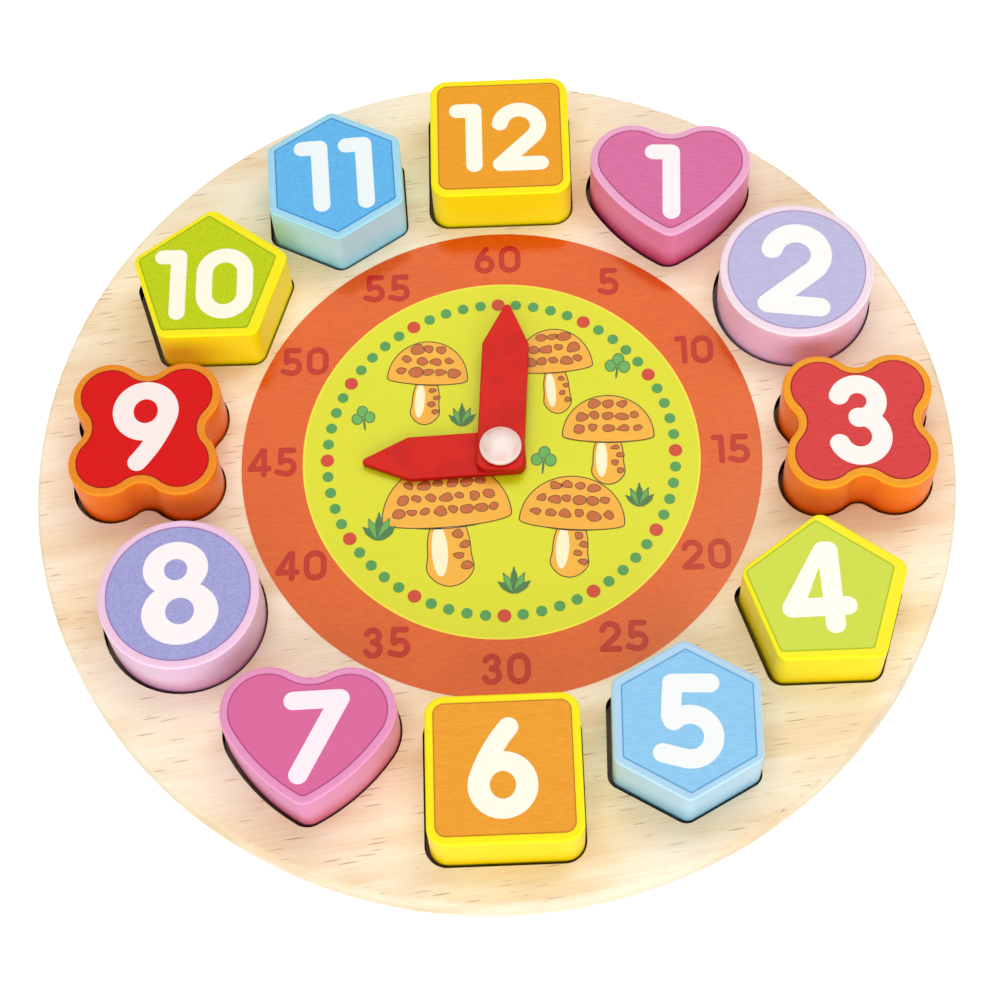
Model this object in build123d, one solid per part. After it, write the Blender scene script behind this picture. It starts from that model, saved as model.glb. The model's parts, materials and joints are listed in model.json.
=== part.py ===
"""Wooden teaching clock with twelve lift-out number blocks and two free hands.

Frame: millimetres, origin at the centre of the board's underside, +Z up,
12 o'clock towards +Y and 3 o'clock towards +X.
"""
import os
from math import acos, asin, atan2, cos, degrees, pi, radians, sin, sqrt
from typing import Callable, NamedTuple

from build123d import *

# ---------------------------------------------------------------- boards
backing_thickness = 3.0
face_board_thickness = 5.0
board_edge_radius = 1.2
rim_width = 6.5            # wood outside the widest block seat
seat_web = 3.5             # wood left between the two closest seats
pivot_from_board_x = 1.7   # the routed and printed face sits a little off the blank's centre
pivot_from_board_y = 1.4
seat_ring_turn = 1.2       # degrees clockwise

# ---------------------------------------------------------------- number blocks
block_thickness = 19.0
block_edge_radius = 0.8
seat_clearance = 0.8       # gap all round a block in its seat
floor_clearance = 0.1      # under a block that rests in its seat
resting_share = 0.45       # of the seat clearance that a block lies off its seat's centre, to the right
square_width = 35.5
square_corner_radius = 4.5
heart_lobe_radius = 10.8
heart_lobe_offset = 9.5    # each lobe's centre from the heart's middle line
heart_lobe_rise = 4.1      # lobe centres above the block's centre
heart_notch_radius = 7.9
heart_side_radius = 48.0
heart_tip_radius = 4.0
heart_tip_depth = 18.3     # tip below the block's centre
disc_radius = 19.0
clover_lobe_radius = 9.0
clover_waist_radius = 4.7
pentagon_apothem = 16.7
pentagon_corner_radius = 3.0
hexagon_apothem = 17.0
hexagon_corner_radius = 2.5
least_radius = 0.3         # of a corner or waist that a moved outline closes up

# ---------------------------------------------------------------- printing
ink_thickness = 0.1
face_border = 1.1          # flat rim left bare between a block's rounding and its printed face
stroke_share = 0.2         # stroke width of a block numeral, as a share of its height
digit_gap_share = 0.125
square_numeral_share = 0.676   # numeral height, as a share of its block's width
heart_numeral_share = 0.549
disc_numeral_share = 0.692
clover_numeral_share = 0.672
pentagon_numeral_share = 0.59
hexagon_numeral_share = 0.671
two_digit_shares = {10: 0.872, 11: 0.945, 12: 0.872}   # two-digit numerals, beside single ones
dial_margin = 2.0          # bare wood between the dial and the ring of seats
numeral_band = 15.2        # width of the orange ring
dot_inset = 5.95           # dot circle inside the ring
minute_dot_diameter = 2.7
five_minute_dot_diameter = 3.3
minute_numeral_height = 7.9
minute_stroke_share = 0.18
minutes_per_hour_mark = 5
stem_print_gap = 1.0       # bare ring round the stem, so that ink never binds on it

# ---------------------------------------------------------------- digits, in shares of their height
digit_half_width_share = 0.34
zero_half_width_share = 0.352
one_half_width_share = 0.2
two_bow_radius_share = 0.235     # of the stroke's centre line, as for every bow below
two_bow_middle_share = -0.01     # its centre, right of the digit's middle
two_bow_drop_share = 0.009       # its crown below the digit's top
two_bow_start = 170        # degrees from +X, where the stroke sets out
three_upper_radius_share = 0.19
three_lower_radius_share = 0.216
three_bow_start = 160      # degrees from +X, of the upper bow
three_bow_sweep = 250
four_half_width_share = 0.375
four_post_share = 0.14     # upright, right of the middle
four_bar_share = -0.21     # level bar, below the middle
four_apex_share = 0.09     # top end of the slope, right of the middle
four_counter_shares = [(0.04, -0.11), (-0.112, -0.11), (0.037, 0.23)]   # corners of the hole
five_bow_radius_share = 0.234
five_bow_start = 135       # degrees from +X
five_bow_end = -105
five_tail_shares = (-0.275, -0.335)
five_corner_share = -0.167       # top end of the stem, right of the middle
five_bar_end_share = 0.204
five_shoulder_shares = (-0.187, 0.058)
six_bowl_radius_share = 0.331    # outside
six_hole_stroke_shares = (1.045, 0.975)   # bowl's thickness across and up, in strokes
six_tail_radius_share = 1.6
six_tail_start = 160       # degrees from +X, where the tail leaves the bowl
six_tail_sweep = 20.4
six_tail_stroke_share = 0.975    # tail's thickness, in strokes
seven_foot_share = -0.2
eight_upper_shares = (0.293, 0.261)        # half width and half height of each oval
eight_lower_shares = (0.343, 0.305)
eight_upper_hole_share = 0.104
eight_lower_hole_share = 0.128
eight_upper_hole_drop_share = 0.272      # its centre below the digit's top
eight_lower_hole_rise_share = 0.322      # its centre above the digit's foot

# ---------------------------------------------------------------- hands and pivot
stem_diameter = 4.6
running_clearance = 0.05   # radial, each hand's bore on the stem
fixed_clearance = 0.02     # radial, the stem in its glued or pressed holes
stack_gap = 0.5            # between the dial, the two hands and the cap
hand_thickness = 1.6
hand_width = 11.6
hand_root_reach = 6.0      # each hand behind the pivot
hand_root_radius = 2.6
hand_point_length = 11.5   # from the shoulders to the point
hand_point_radius = 0.9
hand_edge_radius = 0.35
minute_hand_short_of_dots = 2.0
hour_hand_shorter_by = 6.7
minute_hand_angle = 3.4    # degrees clockwise from 12
hour_hand_angle = 267.4
cap_diameter = 10.2
cap_height = 2.9
cap_rim = 0.7              # straight edge below the dome
socket_flange_diameter = 11.0
socket_flange_thickness = 1.2
socket_wall = 1.6
socket_sleeve_length = 2.2
socket_clearance = 0.15
stem_end_inset = 0.3       # stem's end above the underside of the board

# ---------------------------------------------------------------- hand-made unevenness
class Lie(NamedTuple):
    """How something sits off its true place."""

    right: float
    up: float              # towards 12 o'clock
    turn: float            # degrees anticlockwise


block_lies = {             # each seat and its block, off the common ring
    1: Lie(0.2, -1.7, -2.6),
    2: Lie(-0.7, 0.9, -7.5),
    3: Lie(0.75, 1.3, -0.5),
    4: Lie(1.75, -0.55, 0.6),
    5: Lie(-0.1, -0.25, -0.8),
    6: Lie(1.25, 0.0, 0.7),
    7: Lie(-0.7, -1.5, -2.0),
    8: Lie(-0.7, 0.7, 7.4),
    9: Lie(-0.1, 1.5, -0.7),
    10: Lie(1.8, 0.7, -0.1),
    11: Lie(0.65, -0.5, 3.6),
    12: Lie(-0.25, -0.95, 0.3),
}
true_place = Lie(0.0, 0.0, 0.0)
print_lies = {             # printed faces that are off the middle of their block
    4: Lie(-1.1, 0.1, 0.0),
    5: Lie(0.25, -0.3, 0.0),
    10: Lie(-0.75, 0.05, 0.0),
}
numeral_lies = {           # each numeral, off the middle of its printed face
    1: Lie(-2.0, -2.55, 0.0),
    2: Lie(-0.1, 0.0, 0.0),
    3: Lie(-0.3, 0.0, 0.0),
    4: Lie(-1.0, 0.85, 0.9),
    5: Lie(0.3, -0.2, -0.6),
    6: Lie(-0.3, -0.1, 0.0),
    7: Lie(2.55, -2.25, 3.8),
    8: Lie(0.0, 0.0, 0.0),
    9: Lie(0.2, 0.4, 1.5),
    10: Lie(-0.7, -1.9, 0.0),
    11: Lie(-0.1, -0.2, 0.0),
    12: Lie(-0.25, -0.4, 0.0),
}

# ---------------------------------------------------------------- worked out from the above
hours = range(1, 13)
hour_step = 360 / len(hours)
minutes = range(60)
minute_step = 360 / len(minutes)
marked_minutes = minutes[::minutes_per_hour_mark]

square_half = square_width / 2
heart_half = heart_lobe_offset + heart_lobe_radius
clover_half = 2 * clover_lobe_radius
pentagon_half = pentagon_apothem / cos(pi / 5) * cos(pi / 10)
block_halves = [heart_half, disc_radius, clover_half, pentagon_half, hexagon_apothem, square_half]
neighbour_halves = block_halves[1:] + block_halves[:1]
widest_pair = max(a + b for a, b in zip(block_halves, neighbour_halves))
seat_pitch = widest_pair + 2 * seat_clearance + seat_web
seat_ring_radius = seat_pitch / (2 * sin(radians(hour_step / 2)))
board_radius = seat_ring_radius + max(block_halves) + rim_width
inward_reach = max(disc_radius, square_half, clover_half, hexagon_apothem)
dial_radius = seat_ring_radius - inward_reach - seat_clearance - dial_margin
field_radius = dial_radius - numeral_band
dot_ring_radius = field_radius - dot_inset
minute_numeral_radius = (dial_radius + field_radius) / 2

board_top = backing_thickness + face_board_thickness
print_top = board_top + ink_thickness
mark_top = print_top + ink_thickness
hour_hand_bottom = mark_top + stack_gap
minute_hand_bottom = hour_hand_bottom + hand_thickness + stack_gap
cap_bottom = minute_hand_bottom + hand_thickness + stack_gap
block_bottom = backing_thickness + floor_clearance
block_top = block_bottom + block_thickness
face_inset = block_edge_radius + face_border
stem_hole_diameter = stem_diameter + 2 * fixed_clearance
socket_outer_radius = stem_hole_diameter / 2 + socket_wall

pivot = Vector(pivot_from_board_x, pivot_from_board_y)
minute_hand_length = dot_ring_radius - minute_hand_short_of_dots
hour_hand_length = minute_hand_length - hour_hand_shorter_by
point_half_angle = atan2(hand_width / 2, hand_point_length)
point_overrun = hand_point_radius * (1 / sin(point_half_angle) - 1)   # the rounding takes it off


def clock_point(centre, radius, clockwise_degrees):
    """Point at an angle clockwise from 12 o'clock."""
    angle = radians(clockwise_degrees)
    return Vector(centre.X + radius * sin(angle), centre.Y + radius * cos(angle))


def prism(outline, bottom, height):
    """Solid of a flat outline, from its lower face up."""
    return extrude(Pos(0, 0, bottom) * outline, amount=height, dir=(0, 0, 1))


def heading(direction):
    """Angle of a direction from +X, in degrees."""
    return degrees(atan2(direction.Y, direction.X))


def inner_tangent_centre(first, first_reach, second, second_reach):
    """Point at two given reaches from two centres, on their left as seen from the first."""
    span = second - first
    along = (first_reach ** 2 - second_reach ** 2 + span.length ** 2) / (2 * span.length)
    aside = sqrt(first_reach ** 2 - along ** 2)
    unit = span.normalized()
    return first + unit * along + Vector(unit.Y, -unit.X) * aside


def moved_radius(radius, change):
    """Corner radius of an outline moved outwards or inwards."""
    return max(radius + change, least_radius)


# ---------------------------------------------------------------- block outlines
# Each outline takes how far it is moved outwards, so that a block, its seat
# and its printed face all follow one shape.
def square_outline(grow):
    side = square_width + 2 * grow
    return RectangleRounded(side, side, moved_radius(square_corner_radius, grow))


def disc_outline(grow):
    return Circle(disc_radius + grow)


def rounded_polygon(apothem, corner_radius, sides, grow):
    """Regular polygon with one corner pointing to 12 o'clock."""
    sharp = RegularPolygon(apothem + grow, sides, major_radius=False, rotation=90)
    return fillet(sharp.vertices(), moved_radius(corner_radius, grow))


def pentagon_outline(grow):
    return rounded_polygon(pentagon_apothem, pentagon_corner_radius, 5, grow)


def hexagon_outline(grow):
    return rounded_polygon(hexagon_apothem, hexagon_corner_radius, 6, grow)


def clover_outline(grow):
    """Four round lobes that touch, joined by concave waists."""
    lobe = clover_lobe_radius + grow
    waist = moved_radius(clover_waist_radius, -grow)
    waist_centre = clover_lobe_radius + sqrt((lobe + waist) ** 2 - clover_lobe_radius ** 2)
    lean = degrees(asin(clover_lobe_radius / (lobe + waist)))
    edges = []
    for quarter in range(4):
        turn = Rot(0, 0, 90 * quarter)
        lobe_arc = CenterArc((clover_lobe_radius, clover_lobe_radius), lobe, -lean, 90 + 2 * lean)
        waist_arc = CenterArc((0, waist_centre), waist, -90 - lean, 2 * lean)
        edges += [turn * lobe_arc, turn * waist_arc]
    return make_face(edges)


def heart_outline(grow):
    """Two lobes with a soft notch between them and gently bowed sides down to a rounded tip."""
    lobe = heart_lobe_radius + grow
    notch = moved_radius(heart_notch_radius, -grow)
    tip = moved_radius(heart_tip_radius, grow)
    lobe_centre = Vector(heart_lobe_offset, heart_lobe_rise)
    tip_centre = Vector(0, heart_tip_radius - heart_tip_depth)
    notch_y = heart_lobe_rise + sqrt((lobe + notch) ** 2 - heart_lobe_offset ** 2)
    lean = degrees(asin(heart_lobe_offset / (lobe + notch)))
    side_centre = inner_tangent_centre(lobe_centre, heart_side_radius - heart_lobe_radius,
                                       tip_centre, heart_side_radius - heart_tip_radius)
    lobe_angle = heading(lobe_centre - side_centre)
    tip_angle = heading(tip_centre - side_centre)
    side = heart_side_radius + grow
    right_half = [CenterArc(lobe_centre, lobe, lobe_angle, 90 + lean - lobe_angle),
                  CenterArc(side_centre, side, tip_angle, lobe_angle - tip_angle)]
    tip_arc = CenterArc(tip_centre, tip, tip_angle, -180 - 2 * tip_angle)
    notch_arc = CenterArc((0, notch_y), notch, -90 - lean, 2 * lean)
    left_half = [edge.mirror(Plane.YZ) for edge in right_half]
    return make_face(right_half + left_half + [tip_arc, notch_arc])


class BlockKind(NamedTuple):
    """One shape of block, made twice, six hours apart."""

    outline: Callable
    width: float
    numeral_share: float


block_kinds = [
    BlockKind(heart_outline, 2 * heart_half, heart_numeral_share),
    BlockKind(disc_outline, 2 * disc_radius, disc_numeral_share),
    BlockKind(clover_outline, 2 * clover_half, clover_numeral_share),
    BlockKind(pentagon_outline, 2 * pentagon_half, pentagon_numeral_share),
    BlockKind(hexagon_outline, 2 * hexagon_apothem, hexagon_numeral_share),
    BlockKind(square_outline, square_width, square_numeral_share),
]


# ---------------------------------------------------------------- numerals
def bar(start, end, width):
    """Round-ended straight stroke."""
    run = Vector(*end) - Vector(*start)
    middle = (Vector(*end) + Vector(*start)) * 0.5
    return Pos(middle.X, middle.Y) * Rot(0, 0, heading(run)) * SlotCenterToCenter(run.length, width)


def bow(centre, radius, start, sweep, width):
    """Round-ended curved stroke."""
    return SlotArc(CenterArc(centre, radius, start, sweep), width)


def touch_angle(centre, radius, point):
    """Angle at which a line from a point outside touches a circle."""
    away = Vector(*point) - Vector(*centre)
    return heading(away) + degrees(acos(radius / away.length))


def on_circle(centre, radius, angle):
    """Point of a circle at an angle from +X."""
    return (centre[0] + radius * cos(radians(angle)), centre[1] + radius * sin(radians(angle)))


def one(height, stroke):
    """Upright with a flag to the left."""
    top = (height - stroke) / 2
    half = one_half_width_share * height - stroke / 2
    return bar((half, -top), (half, top), stroke) + bar((-half, top), (half, top), stroke)


def two(height, stroke):
    """Bow that runs down into a slope, on a level foot."""
    top = (height - stroke) / 2
    half = digit_half_width_share * height - stroke / 2
    radius = two_bow_radius_share * height
    centre = (two_bow_middle_share * height, top - two_bow_drop_share * height - radius)
    end = touch_angle(centre, radius, (-half, -top)) - 360
    outline = bow(centre, radius, two_bow_start, end - two_bow_start, stroke)
    outline += bar(on_circle(centre, radius, end), (-half, -top), stroke)
    return outline + bar((-half, -top), (half, -top), stroke)


def three(height, stroke):
    """Two bows, one on the other."""
    top = (height - stroke) / 2
    upper, lower = three_upper_radius_share * height, three_lower_radius_share * height
    outline = bow((0, top - upper), upper, three_bow_start, -three_bow_sweep, stroke)
    return outline + bow((0, lower - top), lower, 90, -three_bow_sweep, stroke)


def four(height, stroke):
    """Slope, level bar and upright round a three-cornered hole."""
    top = (height - stroke) / 2
    half = four_half_width_share * height - stroke / 2
    post, level, apex = four_post_share * height, four_bar_share * height, four_apex_share * height
    outline = bar((post, top), (post, -top), stroke) + bar((apex, top), (post, top), stroke)
    outline += bar((apex, top), (-half, level), stroke) + bar((-half, level), (half, level), stroke)
    counter = Polyline([(x * height, y * height) for x, y in four_counter_shares], close=True)
    return outline - make_face(counter)


def five(height, stroke):
    """Level bar, stem and a bow with an open tail."""
    top = (height - stroke) / 2
    radius = five_bow_radius_share * height
    centre = (0, radius - top)
    corner = (five_corner_share * height, top)
    shoulder = (five_shoulder_shares[0] * height, five_shoulder_shares[1] * height)
    tail = (five_tail_shares[0] * height, five_tail_shares[1] * height)
    outline = bow(centre, radius, five_bow_start, five_bow_end - five_bow_start, stroke)
    outline += bar(on_circle(centre, radius, five_bow_end), tail, stroke)
    outline += bar(corner, (five_bar_end_share * height, top), stroke) + bar(corner, shoulder, stroke)
    return outline + bar(shoulder, on_circle(centre, radius, five_bow_start), stroke)


def six(height, stroke):
    """Round bowl with a gently bowed tail."""
    outer = six_bowl_radius_share * height
    centre = (0, outer - height / 2)
    tail_stroke = six_tail_stroke_share * stroke
    inwards = six_tail_radius_share * height - (outer - tail_stroke / 2)
    tail_centre = on_circle(centre, inwards, six_tail_start - 180)
    across, up = [outer - strokes * stroke for strokes in six_hole_stroke_shares]
    tail = bow(tail_centre, six_tail_radius_share * height, six_tail_start, -six_tail_sweep, tail_stroke)
    return Pos(*centre) * Circle(outer) + tail - Pos(*centre) * Ellipse(across, up)


def seven(height, stroke):
    """Level bar and a slope down to the left."""
    top = (height - stroke) / 2
    half = digit_half_width_share * height - stroke / 2
    slope = bar((half, top), (seven_foot_share * height, -top), stroke)
    return bar((-half, top), (half, top), stroke) + slope


def eight(height, stroke):
    """Two ovals, each with a round hole."""
    upper_wide, upper_tall = [share * height for share in eight_upper_shares]
    lower_wide, lower_tall = [share * height for share in eight_lower_shares]
    upper_hole = height / 2 - eight_upper_hole_drop_share * height
    lower_hole = eight_lower_hole_rise_share * height - height / 2
    outline = Pos(0, height / 2 - upper_tall) * Ellipse(upper_wide, upper_tall)
    outline += Pos(0, lower_tall - height / 2) * Ellipse(lower_wide, lower_tall)
    outline -= Pos(0, upper_hole) * Circle(eight_upper_hole_share * height)
    return outline - Pos(0, lower_hole) * Circle(eight_lower_hole_share * height)


def nine(height, stroke):
    return Rot(0, 0, 180) * six(height, stroke)


def zero(height, stroke):
    """Tall loop with straight sides."""
    half = zero_half_width_share * height - stroke / 2
    straight = (height - stroke) / 2 - half
    loop = bow((0, straight), half, 0, 180, stroke) + bow((0, -straight), half, 180, 180, stroke)
    loop += bar((half, straight), (half, -straight), stroke)
    return loop + bar((-half, straight), (-half, -straight), stroke)


class DigitKind(NamedTuple):
    """How one digit is drawn, and half its width beside its neighbours."""

    draw: Callable
    half_width: float


digit_kinds = {
    "0": DigitKind(zero, zero_half_width_share),
    "1": DigitKind(one, one_half_width_share),
    "2": DigitKind(two, digit_half_width_share),
    "3": DigitKind(three, digit_half_width_share),
    "4": DigitKind(four, four_half_width_share),
    "5": DigitKind(five, digit_half_width_share),
    "6": DigitKind(six, digit_half_width_share),
    "7": DigitKind(seven, digit_half_width_share),
    "8": DigitKind(eight, digit_half_width_share),
    "9": DigitKind(nine, digit_half_width_share),
}


def numeral(number, height, stroke):
    """Outline of a whole number, centred on the origin."""
    kinds = [digit_kinds[character] for character in str(number)]
    gap = digit_gap_share * height
    widths = [2 * kind.half_width * height for kind in kinds]
    left = -(sum(widths) + gap * (len(kinds) - 1)) / 2
    outline = Sketch()
    for kind, width in zip(kinds, widths):
        outline += Pos(left + width / 2, 0) * kind.draw(height, stroke)
        left += width + gap
    return outline


# ---------------------------------------------------------------- boards and pivot
def block_kind(hour):
    return block_kinds[(hour - 1) % len(block_kinds)]


def block_place(hour):
    """Where a block's middle rests on the board, and how it is turned."""
    lie = block_lies[hour]
    middle = clock_point(pivot, seat_ring_radius, hour * hour_step + seat_ring_turn)
    return Pos(middle.X, middle.Y) * lying(lie)


def lying(lie):
    """Place that a lie gives in its block's own frame."""
    return Pos(lie.right, lie.up) * Rot(0, 0, lie.turn)


def seat_place(hour):
    """Middle of the seat that a block rests in, turned as the block is."""
    return Pos(-resting_share * seat_clearance, 0) * block_place(hour)


def make_backing_board():
    board = prism(Circle(board_radius), 0, backing_thickness)
    board = fillet(board.edges().sort_by(Axis.Z)[0], board_edge_radius)
    flange_pocket = Circle(socket_flange_diameter / 2 + socket_clearance)
    sleeve_hole = Circle(socket_outer_radius + fixed_clearance)
    board -= Pos(pivot.X, pivot.Y) * prism(flange_pocket, 0, socket_flange_thickness)
    return board - Pos(pivot.X, pivot.Y) * prism(sleeve_hole, 0, backing_thickness)


def make_face_board():
    board = prism(Circle(board_radius), backing_thickness, face_board_thickness)
    board = fillet(board.edges().sort_by(Axis.Z)[-1], board_edge_radius)
    for hour in hours:
        board -= seat_place(hour) * prism(block_kind(hour).outline(seat_clearance),
                                          backing_thickness, face_board_thickness)
    stem_hole = prism(Circle(stem_hole_diameter / 2), backing_thickness, face_board_thickness)
    return board - Pos(pivot.X, pivot.Y) * stem_hole


def make_pivot_pin():
    """Domed cap on a round stem that both hands turn on."""
    rise = cap_height - cap_rim
    sphere = (rise ** 2 + (cap_diameter / 2) ** 2) / (2 * rise)
    cap = prism(Circle(cap_diameter / 2), cap_bottom, cap_height)
    cap &= Pos(0, 0, cap_bottom + cap_height - sphere) * Sphere(sphere)
    stem = prism(Circle(stem_diameter / 2), stem_end_inset, cap_bottom - stem_end_inset)
    return Pos(pivot.X, pivot.Y) * (cap + stem)


def make_pivot_socket():
    """Flanged sleeve pressed over the stem from below."""
    bore = prism(Circle(stem_hole_diameter / 2), 0, socket_sleeve_length)
    flange = prism(Circle(socket_flange_diameter / 2), 0, socket_flange_thickness)
    sleeve = prism(Circle(socket_outer_radius), 0, socket_sleeve_length)
    return Pos(pivot.X, pivot.Y) * (flange + sleeve - bore)


def make_hand(length, bottom, angle):
    """Flat hand with a square root, straight sides and a long point."""
    half = hand_width / 2
    shoulder = length - hand_point_length
    outline = Polyline((-half, -hand_root_reach), (half, -hand_root_reach), (half, shoulder),
                       (0, length + point_overrun), (-half, shoulder), close=True)
    outline = make_face(outline)
    corners = outline.vertices().sort_by(Axis.Y)
    outline = fillet(corners[:2], hand_root_radius)
    outline = fillet(outline.vertices().sort_by(Axis.Y)[-1], hand_point_radius)
    blade = prism(outline, bottom, hand_thickness)
    blade = fillet(blade.edges().group_by(Axis.Z)[-1], hand_edge_radius)
    blade -= prism(Circle(stem_diameter / 2 + running_clearance), bottom, hand_thickness)
    return Pos(pivot.X, pivot.Y) * Rot(0, 0, -angle) * blade


# ---------------------------------------------------------------- printed layers
def make_ring_print():
    return Pos(pivot.X, pivot.Y) * prism(Circle(dial_radius) - Circle(field_radius),
                                         board_top, ink_thickness)


def make_field_print():
    field = Circle(field_radius) - Circle(stem_diameter / 2 + stem_print_gap)
    return Pos(pivot.X, pivot.Y) * prism(field, board_top, ink_thickness)


def make_dots(marks, diameter):
    dot = prism(Circle(diameter / 2), print_top, ink_thickness)
    places = [clock_point(pivot, dot_ring_radius, minute * minute_step) for minute in marks]
    return Compound([Pos(place.X, place.Y) * dot for place in places])


def make_minute_numerals():
    solids = []
    for hour in hours:
        outline = numeral(hour * minutes_per_hour_mark, minute_numeral_height,
                          minute_stroke_share * minute_numeral_height)
        place = clock_point(pivot, minute_numeral_radius, hour * hour_step)
        printed = prism(outline, print_top, ink_thickness)
        solids += (Pos(place.X, place.Y) * printed).solids()
    return Compound(solids)


def make_block(hour):
    """Wooden block, its printed face and its numeral, each a solid of its own."""
    kind = block_kind(hour)
    printed = lying(print_lies.get(hour, true_place))
    wood = prism(kind.outline(0), block_bottom, block_thickness)
    rims = wood.edges().group_by(Axis.Z)
    wood = fillet(rims[0] + rims[-1], block_edge_radius)
    face = printed * prism(kind.outline(-face_inset), block_top, ink_thickness)
    height = kind.numeral_share * kind.width * two_digit_shares.get(hour, 1)
    figure = prism(numeral(hour, height, stroke_share * height),
                   block_top + ink_thickness, ink_thickness)
    figure = printed * lying(numeral_lies[hour]) * figure
    return [block_place(hour) * solid for solid in (wood, face, figure)]


def make_parts():
    """Every sub-part by name."""
    parts = {
        "backing_board": make_backing_board(),
        "face_board": make_face_board(),
        "pivot_pin": make_pivot_pin(),
        "pivot_socket": make_pivot_socket(),
        "hour_hand": make_hand(hour_hand_length, hour_hand_bottom, hour_hand_angle),
        "minute_hand": make_hand(minute_hand_length, minute_hand_bottom, minute_hand_angle),
        "dial_ring_print": make_ring_print(),
        "dial_field_print": make_field_print(),
        "minute_dots": make_dots([minute for minute in minutes if minute not in marked_minutes],
                                 minute_dot_diameter),
        "five_minute_dots": make_dots(marked_minutes, five_minute_dot_diameter),
        "minute_numerals": make_minute_numerals(),
    }
    for hour in hours:
        wood, face, figure = make_block(hour)
        parts[f"block_{hour}"] = wood
        parts[f"block_{hour}_face"] = face
        parts[f"block_{hour}_numeral"] = figure
    return parts


os.makedirs("parts", exist_ok=True)
for name, shape in make_parts().items():
    export_step(shape, f"parts/{name}.step")
print(f"board radius {board_radius:.2f}, seat ring {seat_ring_radius:.2f}, dial {dial_radius:.2f}, "
      f"field {field_radius:.2f}, dots {dot_ring_radius:.2f}, block top {block_top:.2f}")
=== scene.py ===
"""Dresses a wooden teaching clock with twelve lift-out number blocks.

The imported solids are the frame. Each class below stands for one sub-assembly:
it holds its sizes, and its methods build what the solids leave out and give
every piece its finish. +Z points up out of the dial and +Y points to 12 o'clock.
Lengths are metres, and those of patterns and of the picture are millimetres.
"""
import json
import logging
import math
from dataclasses import dataclass, fields
from enum import Enum
from typing import Any, Callable, Optional, Union

import bmesh
import bpy
from mathutils import Matrix, Vector

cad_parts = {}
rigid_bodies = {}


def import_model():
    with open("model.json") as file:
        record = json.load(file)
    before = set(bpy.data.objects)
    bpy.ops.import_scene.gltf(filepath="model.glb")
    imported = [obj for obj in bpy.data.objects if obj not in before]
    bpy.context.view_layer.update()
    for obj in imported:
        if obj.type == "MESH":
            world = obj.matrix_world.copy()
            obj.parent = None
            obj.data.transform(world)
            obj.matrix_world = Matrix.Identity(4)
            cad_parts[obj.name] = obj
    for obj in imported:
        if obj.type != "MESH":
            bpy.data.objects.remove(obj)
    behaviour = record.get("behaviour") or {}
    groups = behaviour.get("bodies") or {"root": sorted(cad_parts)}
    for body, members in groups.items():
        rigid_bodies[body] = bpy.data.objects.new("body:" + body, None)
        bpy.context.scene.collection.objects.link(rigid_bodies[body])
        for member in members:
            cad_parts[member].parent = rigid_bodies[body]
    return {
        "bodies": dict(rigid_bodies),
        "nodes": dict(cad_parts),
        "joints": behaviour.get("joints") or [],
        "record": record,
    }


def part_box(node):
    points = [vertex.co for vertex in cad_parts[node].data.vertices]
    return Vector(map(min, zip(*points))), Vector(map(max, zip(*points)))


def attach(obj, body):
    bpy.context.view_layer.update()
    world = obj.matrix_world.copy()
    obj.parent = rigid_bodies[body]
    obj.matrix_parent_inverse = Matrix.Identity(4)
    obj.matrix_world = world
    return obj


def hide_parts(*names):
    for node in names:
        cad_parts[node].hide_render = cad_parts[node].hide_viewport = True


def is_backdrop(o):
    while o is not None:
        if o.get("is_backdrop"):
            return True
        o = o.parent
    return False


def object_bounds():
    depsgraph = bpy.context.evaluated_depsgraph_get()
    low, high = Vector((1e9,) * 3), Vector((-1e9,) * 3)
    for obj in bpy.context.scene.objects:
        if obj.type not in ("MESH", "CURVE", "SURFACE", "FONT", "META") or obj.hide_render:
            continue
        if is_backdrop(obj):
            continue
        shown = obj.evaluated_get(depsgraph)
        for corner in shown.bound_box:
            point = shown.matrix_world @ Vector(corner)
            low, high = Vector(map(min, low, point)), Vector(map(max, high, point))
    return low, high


log = logging.getLogger("teaching_clock")

MM = 0.001
BOARD_BODY = "board"
HOURS = range(1, 13)
HAIR = 0.001 * MM                  # too short to see, and more than rounding adds

Colour = tuple[float, float, float, float]
Rise = tuple[float, float]         # where a soft mask leaves 0, and where it reaches 1
Socket = bpy.types.NodeSocket
Sockets = dict[str, Socket]
Feed = Union[float, Colour, Vector, Socket]


def srgb(red: int, green: int, blue: int) -> Colour:
    """Turns an 8-bit display colour into the linear one that a shader takes.

    Args:
        red: Red level, 0 to 255.
        green: Green level, 0 to 255.
        blue: Blue level, 0 to 255.

    Returns:
        The linear colour with full alpha.
    """

    def linear(level: int) -> float:
        """Undoes the display curve of one level."""
        share = level / 255
        return share / 12.92 if share <= 0.04045 else ((share + 0.055) / 1.055) ** 2.4

    return (linear(red), linear(green), linear(blue), 1.0)


def grey(level: float) -> Colour:
    """Grey of a linear level, 0 to 1."""
    return (level, level, level, 1.0)


BLACK, WHITE = grey(0.0), grey(1.0)


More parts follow.
